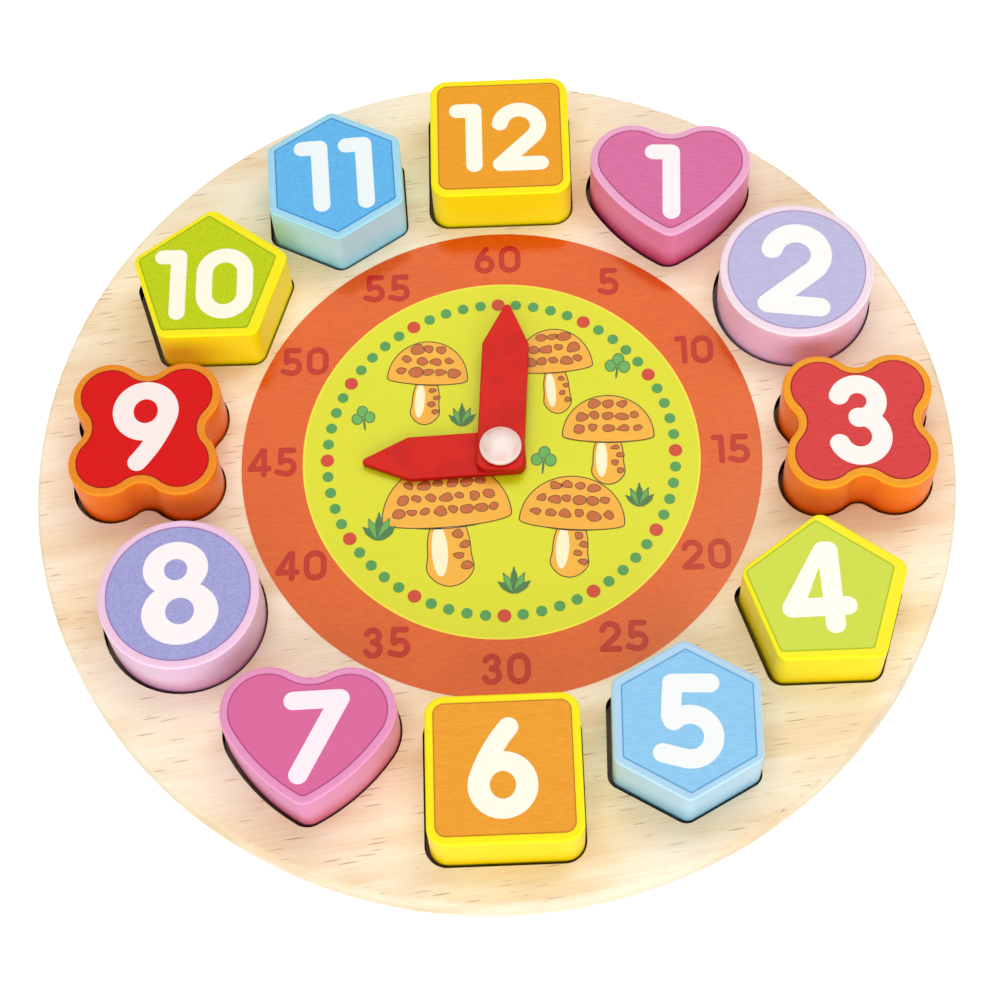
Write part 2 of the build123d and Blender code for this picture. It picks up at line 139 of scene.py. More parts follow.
# ---------------------------------------------------------------- shader nodes
class Graph:
    """Adds nodes to one tree and links them as they come."""

    def __init__(self, tree: bpy.types.NodeTree) -> None:
        """Starts from an empty tree.

        Args:
            tree: The material's or group's node tree.
        """
        self.tree = tree
        tree.nodes.clear()

    def add(self, kind: str, feeds: Optional[dict[Union[str, int], Feed]] = None,
            **settings: Any) -> bpy.types.Node:
        """Adds a node.

        Args:
            kind: The node's type name.
            feeds: What goes into each input: a value, or another node's output.
            **settings: Properties of the node.

        Returns:
            The new node.
        """
        node = self.tree.nodes.new(kind)
        for name, value in settings.items():
            setattr(node, name, value)
        for key, value in (feeds or {}).items():
            if isinstance(value, Socket):
                self.tree.links.new(value, node.inputs[key])
            else:
                node.inputs[key].default_value = value
        return node

    def math(self, operation: str, first: Feed, second: Feed = 0.0) -> Socket:
        """Result of one sum on two values."""
        return self.add("ShaderNodeMath", {0: first, 1: second}, operation=operation).outputs[0]

    def scaled(self, vector: Feed, x: float, y: float, z: float) -> Socket:
        """A vector with each of its parts multiplied."""
        feeds = {0: vector, 1: Vector((x, y, z))}
        return self.add("ShaderNodeVectorMath", feeds, operation="MULTIPLY").outputs[0]

    def line(self, value: Feed, slope: Feed, start: Feed) -> Socket:
        """A value times a slope, on top of a start."""
        feeds = {0: value, 1: slope, 2: start}
        return self.add("ShaderNodeMath", feeds, operation="MULTIPLY_ADD").outputs[0]

    def rest(self, share: Feed) -> Socket:
        """What a share leaves of 1."""
        return self.math("SUBTRACT", 1.0, share)

    def radius(self, x: Feed, y: Feed) -> Socket:
        """How far a point at x and y is from the origin."""
        squares = self.math("ADD", self.math("MULTIPLY", x, x), self.math("MULTIPLY", y, y))
        return self.math("SQRT", squares)

    def smooth(self, value: Feed, low: float, high: float) -> Socket:
        """Mask that rises softly from 0 at low to 1 at high."""
        feeds = {"Value": value, "From Min": low, "From Max": high}
        return self.add("ShaderNodeMapRange", feeds, interpolation_type="SMOOTHSTEP").outputs[0]

    def mix(self, share: Feed, first: Feed, second: Feed, blend: str = "MIX") -> Socket:
        """Colour between two colours.

        Args:
            share: How much of the second colour shows, 0 to 1.
            first: Colour at share 0.
            second: Colour at share 1.
            blend: How the second colour goes on the first.

        Returns:
            The mixed colour's socket.
        """
        node = self.add("ShaderNodeMix", data_type="RGBA", blend_type=blend)
        # sockets 6 and 7 and output 2 are those for colours, among all kinds that can be mixed
        for index, value in ((0, share), (6, first), (7, second)):
            if isinstance(value, Socket):
                self.tree.links.new(value, node.inputs[index])
            else:
                node.inputs[index].default_value = value
        return node.outputs[2]

    def place_mm(self) -> Socket:
        """Where a point is on the clock, in millimetres."""
        return self.scaled(self.add("ShaderNodeTexCoord").outputs["Object"], 1 / MM, 1 / MM, 1 / MM)

    def split(self, vector: Feed) -> tuple[Socket, ...]:
        """The three parts of a vector."""
        return tuple(self.add("ShaderNodeSeparateXYZ", {0: vector}).outputs)


@dataclass(frozen=True)
class Blotches:
    """A soft random pattern, with so many blotches to the millimetre along X, Y and Z."""

    x: float
    y: float
    z: float
    detail: float = 2.0
    roughness: float = 0.5
    distortion: float = 0.0

    def over(self, graph: Graph, place: Feed) -> Socket:
        """The pattern's value at a place in millimetres, about 0 to 1."""
        feeds = {"Vector": graph.scaled(place, self.x, self.y, self.z), "Scale": 1.0,
                 "Detail": self.detail, "Roughness": self.roughness, "Distortion": self.distortion}
        return graph.add("ShaderNodeTexNoise", feeds).outputs["Fac"]


class SharedGroup:
    """A node group that is built once and placed in many materials."""

    made: dict[str, bpy.types.NodeTree] = {}
    name: str = ""
    inputs: tuple[tuple[str, str], ...] = ()
    outputs: tuple[tuple[str, str], ...] = ()

    @classmethod
    def build(cls, graph: Graph, source: Sockets, sink: bpy.types.Node) -> None:
        """Fills the group. Each kind of group does this its own way.

        Args:
            graph: The group's tree.
            source: The group's inputs by name.
            sink: The node that takes the group's outputs.
        """
        raise NotImplementedError

    @classmethod
    def tree(cls) -> bpy.types.NodeTree:
        """The group's tree, made the first time it is asked for.

        Returns:
            The node tree.
        """
        if cls.name not in SharedGroup.made:
            tree = bpy.data.node_groups.new(cls.name, "ShaderNodeTree")
            for name, kind in cls.inputs:
                tree.interface.new_socket(name, in_out="INPUT", socket_type=kind)
            for name, kind in cls.outputs:
                tree.interface.new_socket(name, in_out="OUTPUT", socket_type=kind)
            graph = Graph(tree)
            source = {socket.name: socket for socket in graph.add("NodeGroupInput").outputs}
            cls.build(graph, source, graph.add("NodeGroupOutput"))
            SharedGroup.made[cls.name] = tree
        return SharedGroup.made[cls.name]

    @classmethod
    def place(cls, graph: Graph, feeds: dict[str, Feed]) -> Sockets:
        """Puts the group in a material.

        Args:
            graph: The material's tree.
            feeds: The group's inputs by name.

        Returns:
            The group's outputs by name.
        """
        node = graph.tree.nodes.new("ShaderNodeGroup")
        node.node_tree = cls.tree()
        for name, value in feeds.items():
            if isinstance(value, Socket):
                graph.tree.links.new(value, node.inputs[name])
            else:
                node.inputs[name].default_value = value
        return {socket.name: socket for socket in node.outputs}


class WoodGrain(SharedGroup):
    """Straight-grained pale wood: soft clouds, fine fibres and short dark pores along the grain."""

    name = "wood_grain"
    inputs = (("Place", "NodeSocketVector"), ("Fibre", "NodeSocketFloat"),
              ("Pores", "NodeSocketFloat"), ("Light", "NodeSocketColor"),
              ("Dark", "NodeSocketColor"), ("Pore", "NodeSocketColor"))
    outputs = (("Color", "NodeSocketColor"), ("Height", "NodeSocketFloat"))

    grain_turn = 8.0               # degrees anticlockwise from X
    bands = Blotches(1 / 62.0, 1 / 15.0, 0.1, detail=3.0, roughness=0.6)
    band_rise: Rise = (0.34, 0.72)
    band_share = 0.62              # how dark the bands get beside the dark tone
    fibres = Blotches(1 / 19.0, 1 / 0.6, 1.0, detail=4.0, roughness=0.6)
    fibre_rise: Rise = (0.4, 0.75)
    fibre_relief = 0.4             # how high fibres stand beside the depth of a pore
    pore_cell_length, pore_cell_width = 20.0, 1.3
    pore_size, pore_spread = 0.03, 0.12     # of a cell: the least reach, and what most adds
    pore_edge: Rise = (-0.01, 0.06)
    pore_luck: Rise = (0.35, 0.95)
    pore_sets = (0.0, 37.4)        # where each set of pores starts in the pattern
    sways = Blotches(0.05, 0.2, 0.1)
    sway_reach = 0.9               # of a cell's width

    @classmethod
    def pores(cls, graph: Graph, place: Feed, start: float) -> Socket:
        """Mask of short thin dashes along X, at most one in each cell.

        Args:
            graph: The group's tree.
            place: Where a point is, in millimetres.
            start: Where this set starts in the pattern.

        Returns:
            The mask's socket.
        """
        cell = graph.scaled(place, 1 / cls.pore_cell_length, 1 / cls.pore_cell_width, 0.0)
        sway = graph.math("MULTIPLY", cls.sways.over(graph, place), cls.sway_reach)
        shift = graph.add("ShaderNodeCombineXYZ", {"X": start, "Y": sway}).outputs[0]
        cell = graph.add("ShaderNodeVectorMath", {0: cell, 1: shift}).outputs[0]
        pore = graph.add("ShaderNodeTexVoronoi", {"Vector": cell, "Scale": 1.0},
                         voronoi_dimensions="2D", feature="F1")
        luck, length, _ = graph.split(pore.outputs["Color"])
        reach = graph.line(length, cls.pore_spread, cls.pore_size)
        inside = graph.math("SUBTRACT", reach, pore.outputs["Distance"])
        return graph.math("MULTIPLY", graph.smooth(inside, *cls.pore_edge),
                          graph.smooth(luck, *cls.pore_luck))

    @classmethod
    def build(cls, graph: Graph, source: Sockets, sink: bpy.types.Node) -> None:
        """Lays bands, fibres and pores over each other."""
        feeds = {"Vector": source["Place"], "Angle": -math.radians(cls.grain_turn)}
        place = graph.add("ShaderNodeVectorRotate", feeds, rotation_type="Z_AXIS").outputs[0]
        band = graph.smooth(cls.bands.over(graph, place), *cls.band_rise)
        fibre = cls.fibres.over(graph, place)
        first, second = (cls.pores(graph, place, start) for start in cls.pore_sets)
        dash = graph.math("MULTIPLY", graph.math("MAXIMUM", first, second), source["Pores"])
        thread = graph.math("MULTIPLY", graph.smooth(fibre, *cls.fibre_rise), source["Fibre"])
        tone = graph.math("ADD", graph.math("MULTIPLY", band, cls.band_share), thread)
        wood = graph.mix(tone, source["Light"], source["Dark"])
        wood = graph.mix(dash, wood, source["Pore"])
        height = graph.math("SUBTRACT", graph.math("MULTIPLY", fibre, cls.fibre_relief), dash)
        graph.tree.links.new(wood, sink.inputs["Color"])
        graph.tree.links.new(height, sink.inputs["Height"])


class PaintSkin(SharedGroup):
    """The skin of paint or ink on sanded wood: raised fibres along X, and a pebbled spray coat."""

    name = "paint_skin"
    inputs = (("Place", "NodeSocketVector"), ("Streaks", "NodeSocketFloat"),
              ("Pebbles", "NodeSocketFloat"))
    outputs = (("Shade", "NodeSocketFloat"), ("Height", "NodeSocketFloat"))

    streaks = Blotches(1 / 2.4, 1 / 0.26, 0.6, detail=3.0, roughness=0.6, distortion=0.3)
    pebbles = Blotches(1 / 0.62, 1 / 0.42, 1.2, detail=1.5, roughness=0.5, distortion=0.4)
    middle = 0.5                   # level of either pattern where the surface is flat

    @classmethod
    def build(cls, graph: Graph, source: Sockets, sink: bpy.types.Node) -> None:
        """Adds streaks and pebbles in the asked measure."""
        parts = []
        for pattern, measure in ((cls.streaks, "Streaks"), (cls.pebbles, "Pebbles")):
            level = graph.math("SUBTRACT", pattern.over(graph, source["Place"]), cls.middle)
            parts.append(graph.math("MULTIPLY", level, source[measure]))
        height = graph.math("ADD", *parts)
        graph.tree.links.new(height, sink.inputs["Height"])
        graph.tree.links.new(graph.math("ADD", height, cls.middle), sink.inputs["Shade"])


class Varnish(SharedGroup):
    """The lie of a varnish coat over print on wood: long low waves and small upright runs."""

    name = "varnish_coat"
    inputs = (("Place", "NodeSocketVector"),)
    outputs = (("Height", "NodeSocketFloat"), ("Mottle", "NodeSocketFloat"))

    runs = Blotches(1 / 0.7, 1 / 2.6, 0.5)
    run_relief = 0.12              # how high a run stands beside a wave
    waves = Blotches(1 / 7.0, 1 / 7.0, 0.5, detail=1.0)
    clouds = Blotches(0.4, 1.1, 0.5, detail=3.0, roughness=0.65)

    @classmethod
    def build(cls, graph: Graph, source: Sockets, sink: bpy.types.Node) -> None:
        """Adds runs to waves, and gives a faint cloudiness."""
        place = source["Place"]
        runs = graph.math("MULTIPLY", cls.runs.over(graph, place), cls.run_relief)
        height = graph.math("ADD", runs, cls.waves.over(graph, place))
        graph.tree.links.new(height, sink.inputs["Height"])
        graph.tree.links.new(cls.clouds.over(graph, place), sink.inputs["Mottle"])


# ---------------------------------------------------------------- finishes
def new_material(name: str) -> tuple[bpy.types.Material, Graph]:
    """Starts a material with an empty tree.

    Args:
        name: The material's name.

    Returns:
        The material and its graph.
    """
    material = bpy.data.materials.new(name)
    material.use_nodes = True
    return material, Graph(material.node_tree)


def close_material(graph: Graph, feeds: dict[str, Feed]) -> None:
    """Ends a material in a Principled shader.

    Args:
        graph: The material's tree.
        feeds: The shader's inputs by name.
    """
    shader = graph.add("ShaderNodeBsdfPrincipled", feeds)
    graph.add("ShaderNodeOutputMaterial", {"Surface": shader.outputs[0]})


def bump(graph: Graph, height: Feed, depth: float) -> Socket:
    """Normal of a surface with relief.

    Args:
        graph: The material's tree.
        height: The relief's pattern, about 0 to 1.
        depth: How deep a step of 1 is, in metres.

    Returns:
        The normal's socket.
    """
    feeds = {"Height": height, "Strength": 1.0, "Distance": depth}
    return graph.add("ShaderNodeBump", feeds).outputs[0]


class Skin(Enum):
    """How the top coat of a painted piece lies: strength of its streaks and of its pebbles."""

    BRUSHED = (1.0, 0.35)
    PEBBLED = (0.35, 1.1)
    SATIN = (0.3, 0.25)

    def on(self, graph: Graph, place: Feed) -> Sockets:
        """The coat's shade and relief in a material, at a place in millimetres."""
        streaks, pebbles = self.value
        return PaintSkin.place(graph, {"Place": place, "Streaks": streaks, "Pebbles": pebbles})


@dataclass(frozen=True)
class CharAndShade:
    """Burnt walls where the seats were cut, and painted shade on the seat floors."""

    within: float                  # radius inside which walls and floors belong to seats
    # painted shade: the seat floor is coloured dark, as it lies deep in the narrow gaps round the
    # blocks
    floor: Colour = srgb(138, 96, 62)
    floor_height: float = 0.02     # millimetres off the seam that still count as floor
    clouds: Blotches = Blotches(0.05, 0.05, 0.1)
    cloud_least: float = 0.4
    cloud_spread: float = 0.8
    dark: Colour = srgb(16, 8, 6)
    light: Colour = srgb(44, 24, 14)
    soot: Blotches = Blotches(0.9, 0.9, 0.4)
    gloss: float = 0.04
    roughness: float = 0.85


@dataclass(frozen=True)
class Beech:
    """Sanded beech ply under a thin matt lacquer."""

    light: Colour = srgb(254, 243, 221)
    dark: Colour = srgb(231, 195, 140)
    pore: Colour = srgb(164, 106, 58)
    glue: Colour = srgb(206, 168, 118)
    fibre: float = 0.24
    pores: float = 0.62
    flat: Rise = (0.7, 0.97)       # how level a face is where pores start to show
    slope: Rise = (0.45, 0.7)      # how level one is where it stops being a wall
    glue_share: float = 0.6        # how much of the glue's colour its line takes
    glue_fade: Rise = (0.04, 0.14)          # millimetres off the seam
    relief: float = 0.05 * MM
    gloss: float = 0.5
    roughness: float = 0.5

    def make(self, name: str, seam: float, char_and_shade: CharAndShade) -> bpy.types.Material:
        """Makes the wood of one board.

        Args:
            name: The material's name.
            seam: Height of the glue line between the two boards.
            char_and_shade: How its seats are burnt on their walls, and the painted shade on their
                floors.

        Returns:
            The material.
        """
        material, graph = new_material(name)
        place = graph.place_mm()
        x, y, z = graph.split(place)
        upright = graph.add("ShaderNodeNewGeometry").outputs["True Normal"]
        upright = graph.math("ABSOLUTE", graph.split(upright)[2])
        pores = graph.math("MULTIPLY", graph.smooth(upright, *self.flat), self.pores)
        feeds = {"Place": place, "Fibre": self.fibre, "Pores": pores, "Light": self.light,
                 "Dark": self.dark, "Pore": self.pore}
        grain = WoodGrain.place(graph, feeds)
        wall = graph.rest(graph.smooth(upright, *self.slope))
        off_seam = graph.math("ABSOLUTE", graph.math("SUBTRACT", z, seam / MM))
        glue = graph.math("MULTIPLY", graph.rest(graph.smooth(off_seam, *self.glue_fade)), wall)
        colour = graph.mix(graph.math("MULTIPLY", glue, self.glue_share), grain["Color"], self.glue)
        inner = graph.math("LESS_THAN", graph.radius(x, y), char_and_shade.within / MM)
        # painted shade on the seat floors, broken up by clouds
        floor_shade = graph.math("MULTIPLY", inner, graph.math("LESS_THAN", off_seam, char_and_shade.floor_height))
        cloud = graph.line(char_and_shade.clouds.over(graph, place), char_and_shade.cloud_spread, char_and_shade.cloud_least)
        floor_shade = graph.math("MULTIPLY", floor_shade, graph.math("MINIMUM", cloud, 1.0))
        colour = graph.mix(floor_shade, colour, char_and_shade.floor)
        above = graph.math("GREATER_THAN", z, seam / MM)
        burnt = graph.math("MULTIPLY", wall, graph.math("MULTIPLY", inner, above))
        soot = graph.mix(char_and_shade.soot.over(graph, place), char_and_shade.dark, char_and_shade.light)
        colour = graph.mix(burnt, colour, soot)
        feeds = {"Base Color": colour, "Normal": bump(graph, grain["Height"], self.relief),
                 "Roughness": graph.line(burnt, char_and_shade.roughness - self.roughness, self.roughness),
                 "Specular IOR Level": graph.line(burnt, char_and_shade.gloss - self.gloss, self.gloss)}
        close_material(graph, feeds)
        return material


@dataclass(frozen=True)
class BlockPaint:
    """Sprayed paint on a number block, with painted light on its top rim, a painted highlight on
    its rounded edge and painted shade at its foot.
    """

    rim: Colour
    wall: Colour
    foot: Colour
    skin: Skin
    foot_fade: Rise = (-1.0, 8.0)           # millimetres above the board, from the painted shade at the foot to the wall
    rim_fade: Rise = (-1.1, -0.4)           # millimetres over the top, from the wall to the rim's painted light
    clouds: Blotches = Blotches(0.09, 0.09, 0.16, detail=1.0)
    cloud_lift: float = 5.0        # millimetres that clouds lift or sink the fade of the painted shade at the foot
    wear: float = 1.28             # how much brighter the painted highlight on the rounded edge is than the rim
    edge_start: Rise = (0.15, 0.45)         # how level the surface is where the edge starts
    edge_end: Rise = (0.7, 0.92)            # and where it ends
    shade_rise: Rise = (0.2, 0.8)
    contrast: float = 0.10
    relief: float = 0.05 * MM
    gloss: float = 0.14
    roughness: float = 0.27

    def make(self, name: str, low: float, high: float) -> bpy.types.Material:
        """Makes one block's paint.

        Args:
            name: The material's name.
            low: Height of the board's face, above which the paint shows.
            high: Height of the block's top.

        Returns:
            The material.
        """
        material, graph = new_material(name)
        place = graph.place_mm()
        skin = self.skin.on(graph, place)
        _, _, z = graph.split(place)
        # painted shade: the wall's colour goes darker towards its foot at the board
        height = graph.line(self.clouds.over(graph, place), self.cloud_lift,
                            graph.math("SUBTRACT", z, self.cloud_lift / 2))
        foot_rise = [low / MM + above for above in self.foot_fade]
        colour = graph.mix(graph.smooth(height, *foot_rise), self.foot, self.wall)
        # painted light: the top rim takes its own lit tone, apart from the walls
        rim_rise = [high / MM + above for above in self.rim_fade]
        colour = graph.mix(graph.smooth(z, *rim_rise), colour, self.rim)
        # painted highlight: the rounded edge between top and wall is coloured paler than the rim
        _, _, upright = graph.split(graph.add("ShaderNodeNewGeometry").outputs["Normal"])
        edge = graph.math("MULTIPLY", graph.smooth(upright, *self.edge_start),
                          graph.rest(graph.smooth(upright, *self.edge_end)))
        edge_highlight_colour = tuple(min(1.0, level * self.wear) for level in self.rim[:3]) + (1.0,)
        colour = graph.mix(edge, colour, edge_highlight_colour)
        shade = graph.mix(graph.smooth(skin["Shade"], *self.shade_rise), BLACK, WHITE)
        colour = graph.mix(self.contrast, colour, shade, "SOFT_LIGHT")
        close_material(graph, {"Base Color": colour, "Roughness": self.roughness,
                               "Specular IOR Level": self.gloss,
                               "Normal": bump(graph, skin["Height"], self.relief)})
        return material


@dataclass(frozen=True)
class FaceInk:
    """Screen ink on a block's top, which lets the skin of the paint show through."""

    colour: Colour
    skin: Skin
    relief: float = 0.11 * MM
    shade_rise: Rise = (0.15, 0.85)
    contrast: float = 0.22
    gloss: float = 0.15
    roughness: float = 0.5

    def make(self, name: str) -> bpy.types.Material:
        """Makes one ink.

        Args:
            name: The material's name.

        Returns:
            The material.
        """
        material, graph = new_material(name)
        skin = self.skin.on(graph, graph.place_mm())
        shade = graph.mix(graph.smooth(skin["Shade"], *self.shade_rise), BLACK, WHITE)
        colour = graph.mix(self.contrast, self.colour, shade, "SOFT_LIGHT")
        close_material(graph, {"Base Color": colour, "Roughness": self.roughness,
                               "Specular IOR Level": self.gloss,
                               "Normal": bump(graph, skin["Height"], self.relief)})
        return material


@dataclass(frozen=True)
class DialInk:
    """Print on the dial, under glossy varnish, with a hint of the wood below."""

    colour: Colour
    grain: float = 0.35
    wood_light: Colour = grey(0.56)
    wood_dark: Colour = grey(0.36)
    wood_pore: Colour = grey(0.2)
    mottle: float = 0.16
    mottle_rise: Rise = (0.3, 0.7)
    mottle_dark: Colour = grey(0.3)
    mottle_light: Colour = grey(0.7)
    relief: float = 0.035 * MM
    sheen: Colour = (1.0, 0.9, 0.5, 1.0)
    gloss: float = 0.58
    roughness: float = 0.17

    def make(self, name: str) -> bpy.types.Material:
        """Makes one printed colour of the dial.

        Args:
            name: The material's name.

        Returns:
            The material.
        """
        material, graph = new_material(name)
        place = graph.place_mm()
        feeds = {"Place": place, "Fibre": self.grain, "Pores": self.grain,
                 "Light": self.wood_light, "Dark": self.wood_dark, "Pore": self.wood_pore}
        wood = WoodGrain.place(graph, feeds)
        coat = Varnish.place(graph, {"Place": place})
        colour = graph.mix(self.grain, self.colour, wood["Color"], "SOFT_LIGHT")
        cloud = graph.mix(graph.smooth(coat["Mottle"], *self.mottle_rise), self.mottle_dark,
                          self.mottle_light)
        colour = graph.mix(self.mottle, colour, cloud, "SOFT_LIGHT")
        close_material(graph, {"Base Color": colour, "Roughness": self.roughness,
                               "Specular Tint": self.sheen, "Specular IOR Level": self.gloss,
                               "Normal": bump(graph, coat["Height"], self.relief)})
        return material


@dataclass(frozen=True)
class HandPlastic:
    """Solid-coloured moulded plastic with a faint sink and flow lines along the blade, and painted
    shade on its sides.
    """

    colour: Colour = srgb(212, 26, 14)
    # deep: colour of the painted shade on the sides, and of the flow lines
    deep: Colour = srgb(168, 8, 8)
    side_fade: Rise = (-0.3, -0.03)         # millimetres over the blade's face, from the painted shade on the sides to plain
    flow: Blotches = Blotches(0.16, 0.16, 0.3)
    flow_rise: Rise = (0.4, 0.7)
    flow_share: float = 0.3
    grit: Blotches = Blotches(3.0, 3.0, 3.0)
    grit_relief: float = 0.05      # how high the grit stands beside the flow lines
    relief: float = 0.08 * MM
    gloss: float = 0.13
    roughness: float = 0.3

    def make(self, name: str, top: float) -> bpy.types.Material:
        """Makes the plastic of one hand.

        Args:
            name: The material's name.
            top: Height of the blade's flat face.

        Returns:
            The material.
        """
        material, graph = new_material(name)
        place = graph.place_mm()
        _, _, z = graph.split(place)
        # painted shade: the sides below the blade's flat face are coloured deeper
        side_rise = [top / MM + above for above in self.side_fade]
        colour = graph.mix(graph.smooth(z, *side_rise), self.deep, self.colour)
        flow = self.flow.over(graph, place)
        streak = graph.math("MULTIPLY", graph.smooth(flow, *self.flow_rise), self.flow_share)
        colour = graph.mix(streak, colour, self.deep)
        grit = graph.math("MULTIPLY", self.grit.over(graph, place), self.grit_relief)
        close_material(graph, {"Base Color": colour, "Roughness": self.roughness,
                               "Specular IOR Level": self.gloss,
                               "Normal": bump(graph, graph.math("ADD", flow, grit), self.relief)})
        return material


@dataclass(frozen=True)
class MilkyPlastic:
    """Translucent white plastic, with a painted pink ring standing in for the red hands seen
    through it.
    """

    core: Colour = srgb(244, 228, 224)
    # painted light: the pink of the red hands under the cap, as if seen through it
    blush: Colour = srgb(236, 204, 204)
    ring_start: Rise = (0.25, 0.85)         # shares of the cap's radius
    ring_end: Rise = (0.86, 0.97)
    clouds: Blotches = Blotches(0.5, 0.5, 0.5)
    cloud_rise: Rise = (0.2, 0.7)
    relief: float = 0.05 * MM
    roughness: float = 0.3
    glow: float = 0.35
    glow_reach: float = 2.0 * MM

    def make(self, name: str, centre: Vector, radius: float) -> bpy.types.Material:
        """Makes the pin's plastic.

        Args:
            name: The material's name.
            centre: The pin's middle.
            radius: The cap's radius.

        Returns:
            The material.
        """
        material, graph = new_material(name)
        place = graph.place_mm()
        offset = graph.add("ShaderNodeVectorMath", {0: place, 1: centre / MM}, operation="SUBTRACT")
        x, y, _ = graph.split(offset.outputs[0])
        away, reach = graph.radius(x, y), radius / MM
        start, end = ([share * reach for share in rise]
                      for rise in (self.ring_start, self.ring_end))
        # painted show-through: a pink ring round the cap's middle, broken by clouds
        ring = graph.math("MULTIPLY", graph.smooth(away, *start),
                          graph.rest(graph.smooth(away, *end)))
        cloud = self.clouds.over(graph, place)
        blush = graph.math("MULTIPLY", ring, graph.smooth(cloud, *self.cloud_rise))
        feeds = {"Base Color": graph.mix(blush, self.core, self.blush), "Roughness": self.roughness,
                 "Subsurface Weight": self.glow, "Subsurface Scale": self.glow_reach,
                 "Normal": bump(graph, cloud, self.relief)}
        close_material(graph, feeds)
        return material


# ---------------------------------------------------------------- modelling by hand
def deselect() -> None:
    """Leaves nothing selected, in object mode."""
    if bpy.context.object is not None and bpy.context.object.mode != "OBJECT":
        bpy.ops.object.mode_set(mode="OBJECT")
    bpy.ops.object.select_all(action="DESELECT")


def dress(obj: bpy.types.Object, *materials: bpy.types.Material) -> None:
    """Gives an object its materials in place of those it has."""
    obj.data.materials.clear()
    for material in materials:
        obj.data.materials.append(material)


class Workpiece:
    """A mesh under the tools: it is shaped in edit mode, then finished and named."""

    def __init__(self, obj: bpy.types.Object) -> None:
        """Takes an object to the bench.

        Args:
            obj: The mesh object to shape.
        """
        deselect()
        self.obj = obj
        obj.select_set(True)
        bpy.context.view_layer.objects.active = obj
        bpy.ops.object.mode_set(mode="EDIT")

    @classmethod
    def disc(cls, centre: Vector, radius: float, points: int) -> "Workpiece":
        """Starts from a flat round blank.

        Args:
            centre: Middle of the blank.
            radius: Its radius.
            points: How many points its rim has.

        Returns:
            The blank on the bench.
        """
        deselect()
        bpy.ops.mesh.primitive_circle_add(vertices=points, radius=radius, fill_type="NGON",
                                          location=centre)
        bpy.ops.object.transform_apply(location=True, rotation=True, scale=True)
        return cls(bpy.context.object)

    @classmethod
    def copy_of(cls, node: bpy.types.Object, name: str) -> "Workpiece":
        """Starts from a merged copy of a solid.

        Args:
            node: The solid, which stays as it is.
            name: The copy's name.

        Returns:
            The copy on the bench, with all of it selected.
        """
        copy = bpy.data.objects.new(name, node.data.copy())
        bpy.context.scene.collection.objects.link(copy)
        piece = cls(copy)
        bpy.ops.mesh.select_all(action="SELECT")
        bpy.ops.mesh.remove_doubles(threshold=2 * HAIR)
        return piece

    def pick(self, kind: str, wanted: Callable[[Any], bool]) -> None:
        """Selects only the vertices, edges or faces that a test accepts.

        Args:
            kind: "verts", "edges" or "faces".
            wanted: The test, which is given each element.
        """
        bpy.ops.mesh.select_mode(type={"verts": "VERT", "edges": "EDGE", "faces": "FACE"}[kind])
        bpy.ops.mesh.select_all(action="DESELECT")
        shape = bmesh.from_edit_mesh(self.obj.data)
        for element in getattr(shape, kind):
            if wanted(element):
                element.select_set(True)
        shape.select_flush_mode()
        bmesh.update_edit_mesh(self.obj.data)

    def stretch(self, centre: Vector, x: float, y: float,
                wanted: Callable[[Any], bool] = lambda vertex: True) -> None:
        """Scales the picked points about a centre.

        Args:
            centre: The point that stays.
            x: Scale along X.
            y: Scale along Y.
            wanted: Which vertices move.
        """
        self.pick("verts", wanted)
        bpy.ops.transform.resize(value=(x, y, 1.0), center_override=centre)

    def turn(self, centre: Vector, degrees: float) -> None:
        """Turns the whole piece anticlockwise as seen from above."""
        bpy.ops.mesh.select_all(action="SELECT")
        bpy.ops.transform.rotate(value=-math.radians(degrees), orient_axis="Z",
                                 orient_type="GLOBAL", center_override=centre)

    def roughen(self, amount: float, seed: int) -> None:
        """Makes the outline uneven, then eases it.

        Args:
            amount: How far a point may move.
            seed: Which unevenness it gets.
        """
        bpy.ops.mesh.select_all(action="SELECT")
        bpy.ops.transform.vertex_random(offset=amount, uniform=1.0, normal=0.0, seed=seed)
        self.ease(2)
        level = self.obj.data.vertices[0].co
        bpy.ops.transform.resize(value=(1.0, 1.0, 0.0), center_override=level)

    def ease(self, times: int) -> None:
        """Evens out the outline of a piece whose points are picked."""
        bpy.ops.mesh.vertices_smooth(factor=0.5, repeat=times, zaxis=False)

    def inlay(self, width: float) -> None:
        """Insets the picked face and gives the inner part the second material."""
        bpy.ops.mesh.inset(thickness=width, use_even_offset=True)
        self.obj.active_material_index = 1
        bpy.ops.object.material_slot_assign()

    def thicken(self, height: float) -> None:
        """Raises a flat piece into a closed plate."""
        bpy.ops.mesh.select_mode(type="FACE")
        bpy.ops.mesh.select_all(action="SELECT")
        bpy.ops.mesh.extrude_region_move(TRANSFORM_OT_translate={"value": (0.0, 0.0, height)})
        bpy.ops.mesh.select_all(action="SELECT")
        bpy.ops.mesh.normals_make_consistent(inside=False)

    def finish(self, name: str) -> bpy.types.Object:
        """Takes the piece off the bench.

        Args:
            name: The piece's name.

        Returns:
            The finished object.
        """
        bpy.ops.object.mode_set(mode="OBJECT")
        self.obj.name = name
        self.obj.data.name = name
        deselect()
        return self.obj


# ---------------------------------------------------------------- boards
@dataclass
class Board:
    """The backing board and the face board, glued together."""

    nodes: dict[str, bpy.types.Object]
    edge_inset: float = 1.6 * MM   # clears the rounded edges

    def dress(self) -> None:
        """Gives both boards their wood, with burnt walls and painted shade on the floors in the
        seats.
        """
        low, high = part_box("backing_board")
        char_and_shade = CharAndShade(within=(high.x - low.x) / 2 - self.edge_inset)
        wood = Beech()
        dress(self.nodes["backing_board"], wood.make("beech_back", high.z, char_and_shade))
        dress(self.nodes["face_board"], wood.make("beech_face", high.z, char_and_shade))


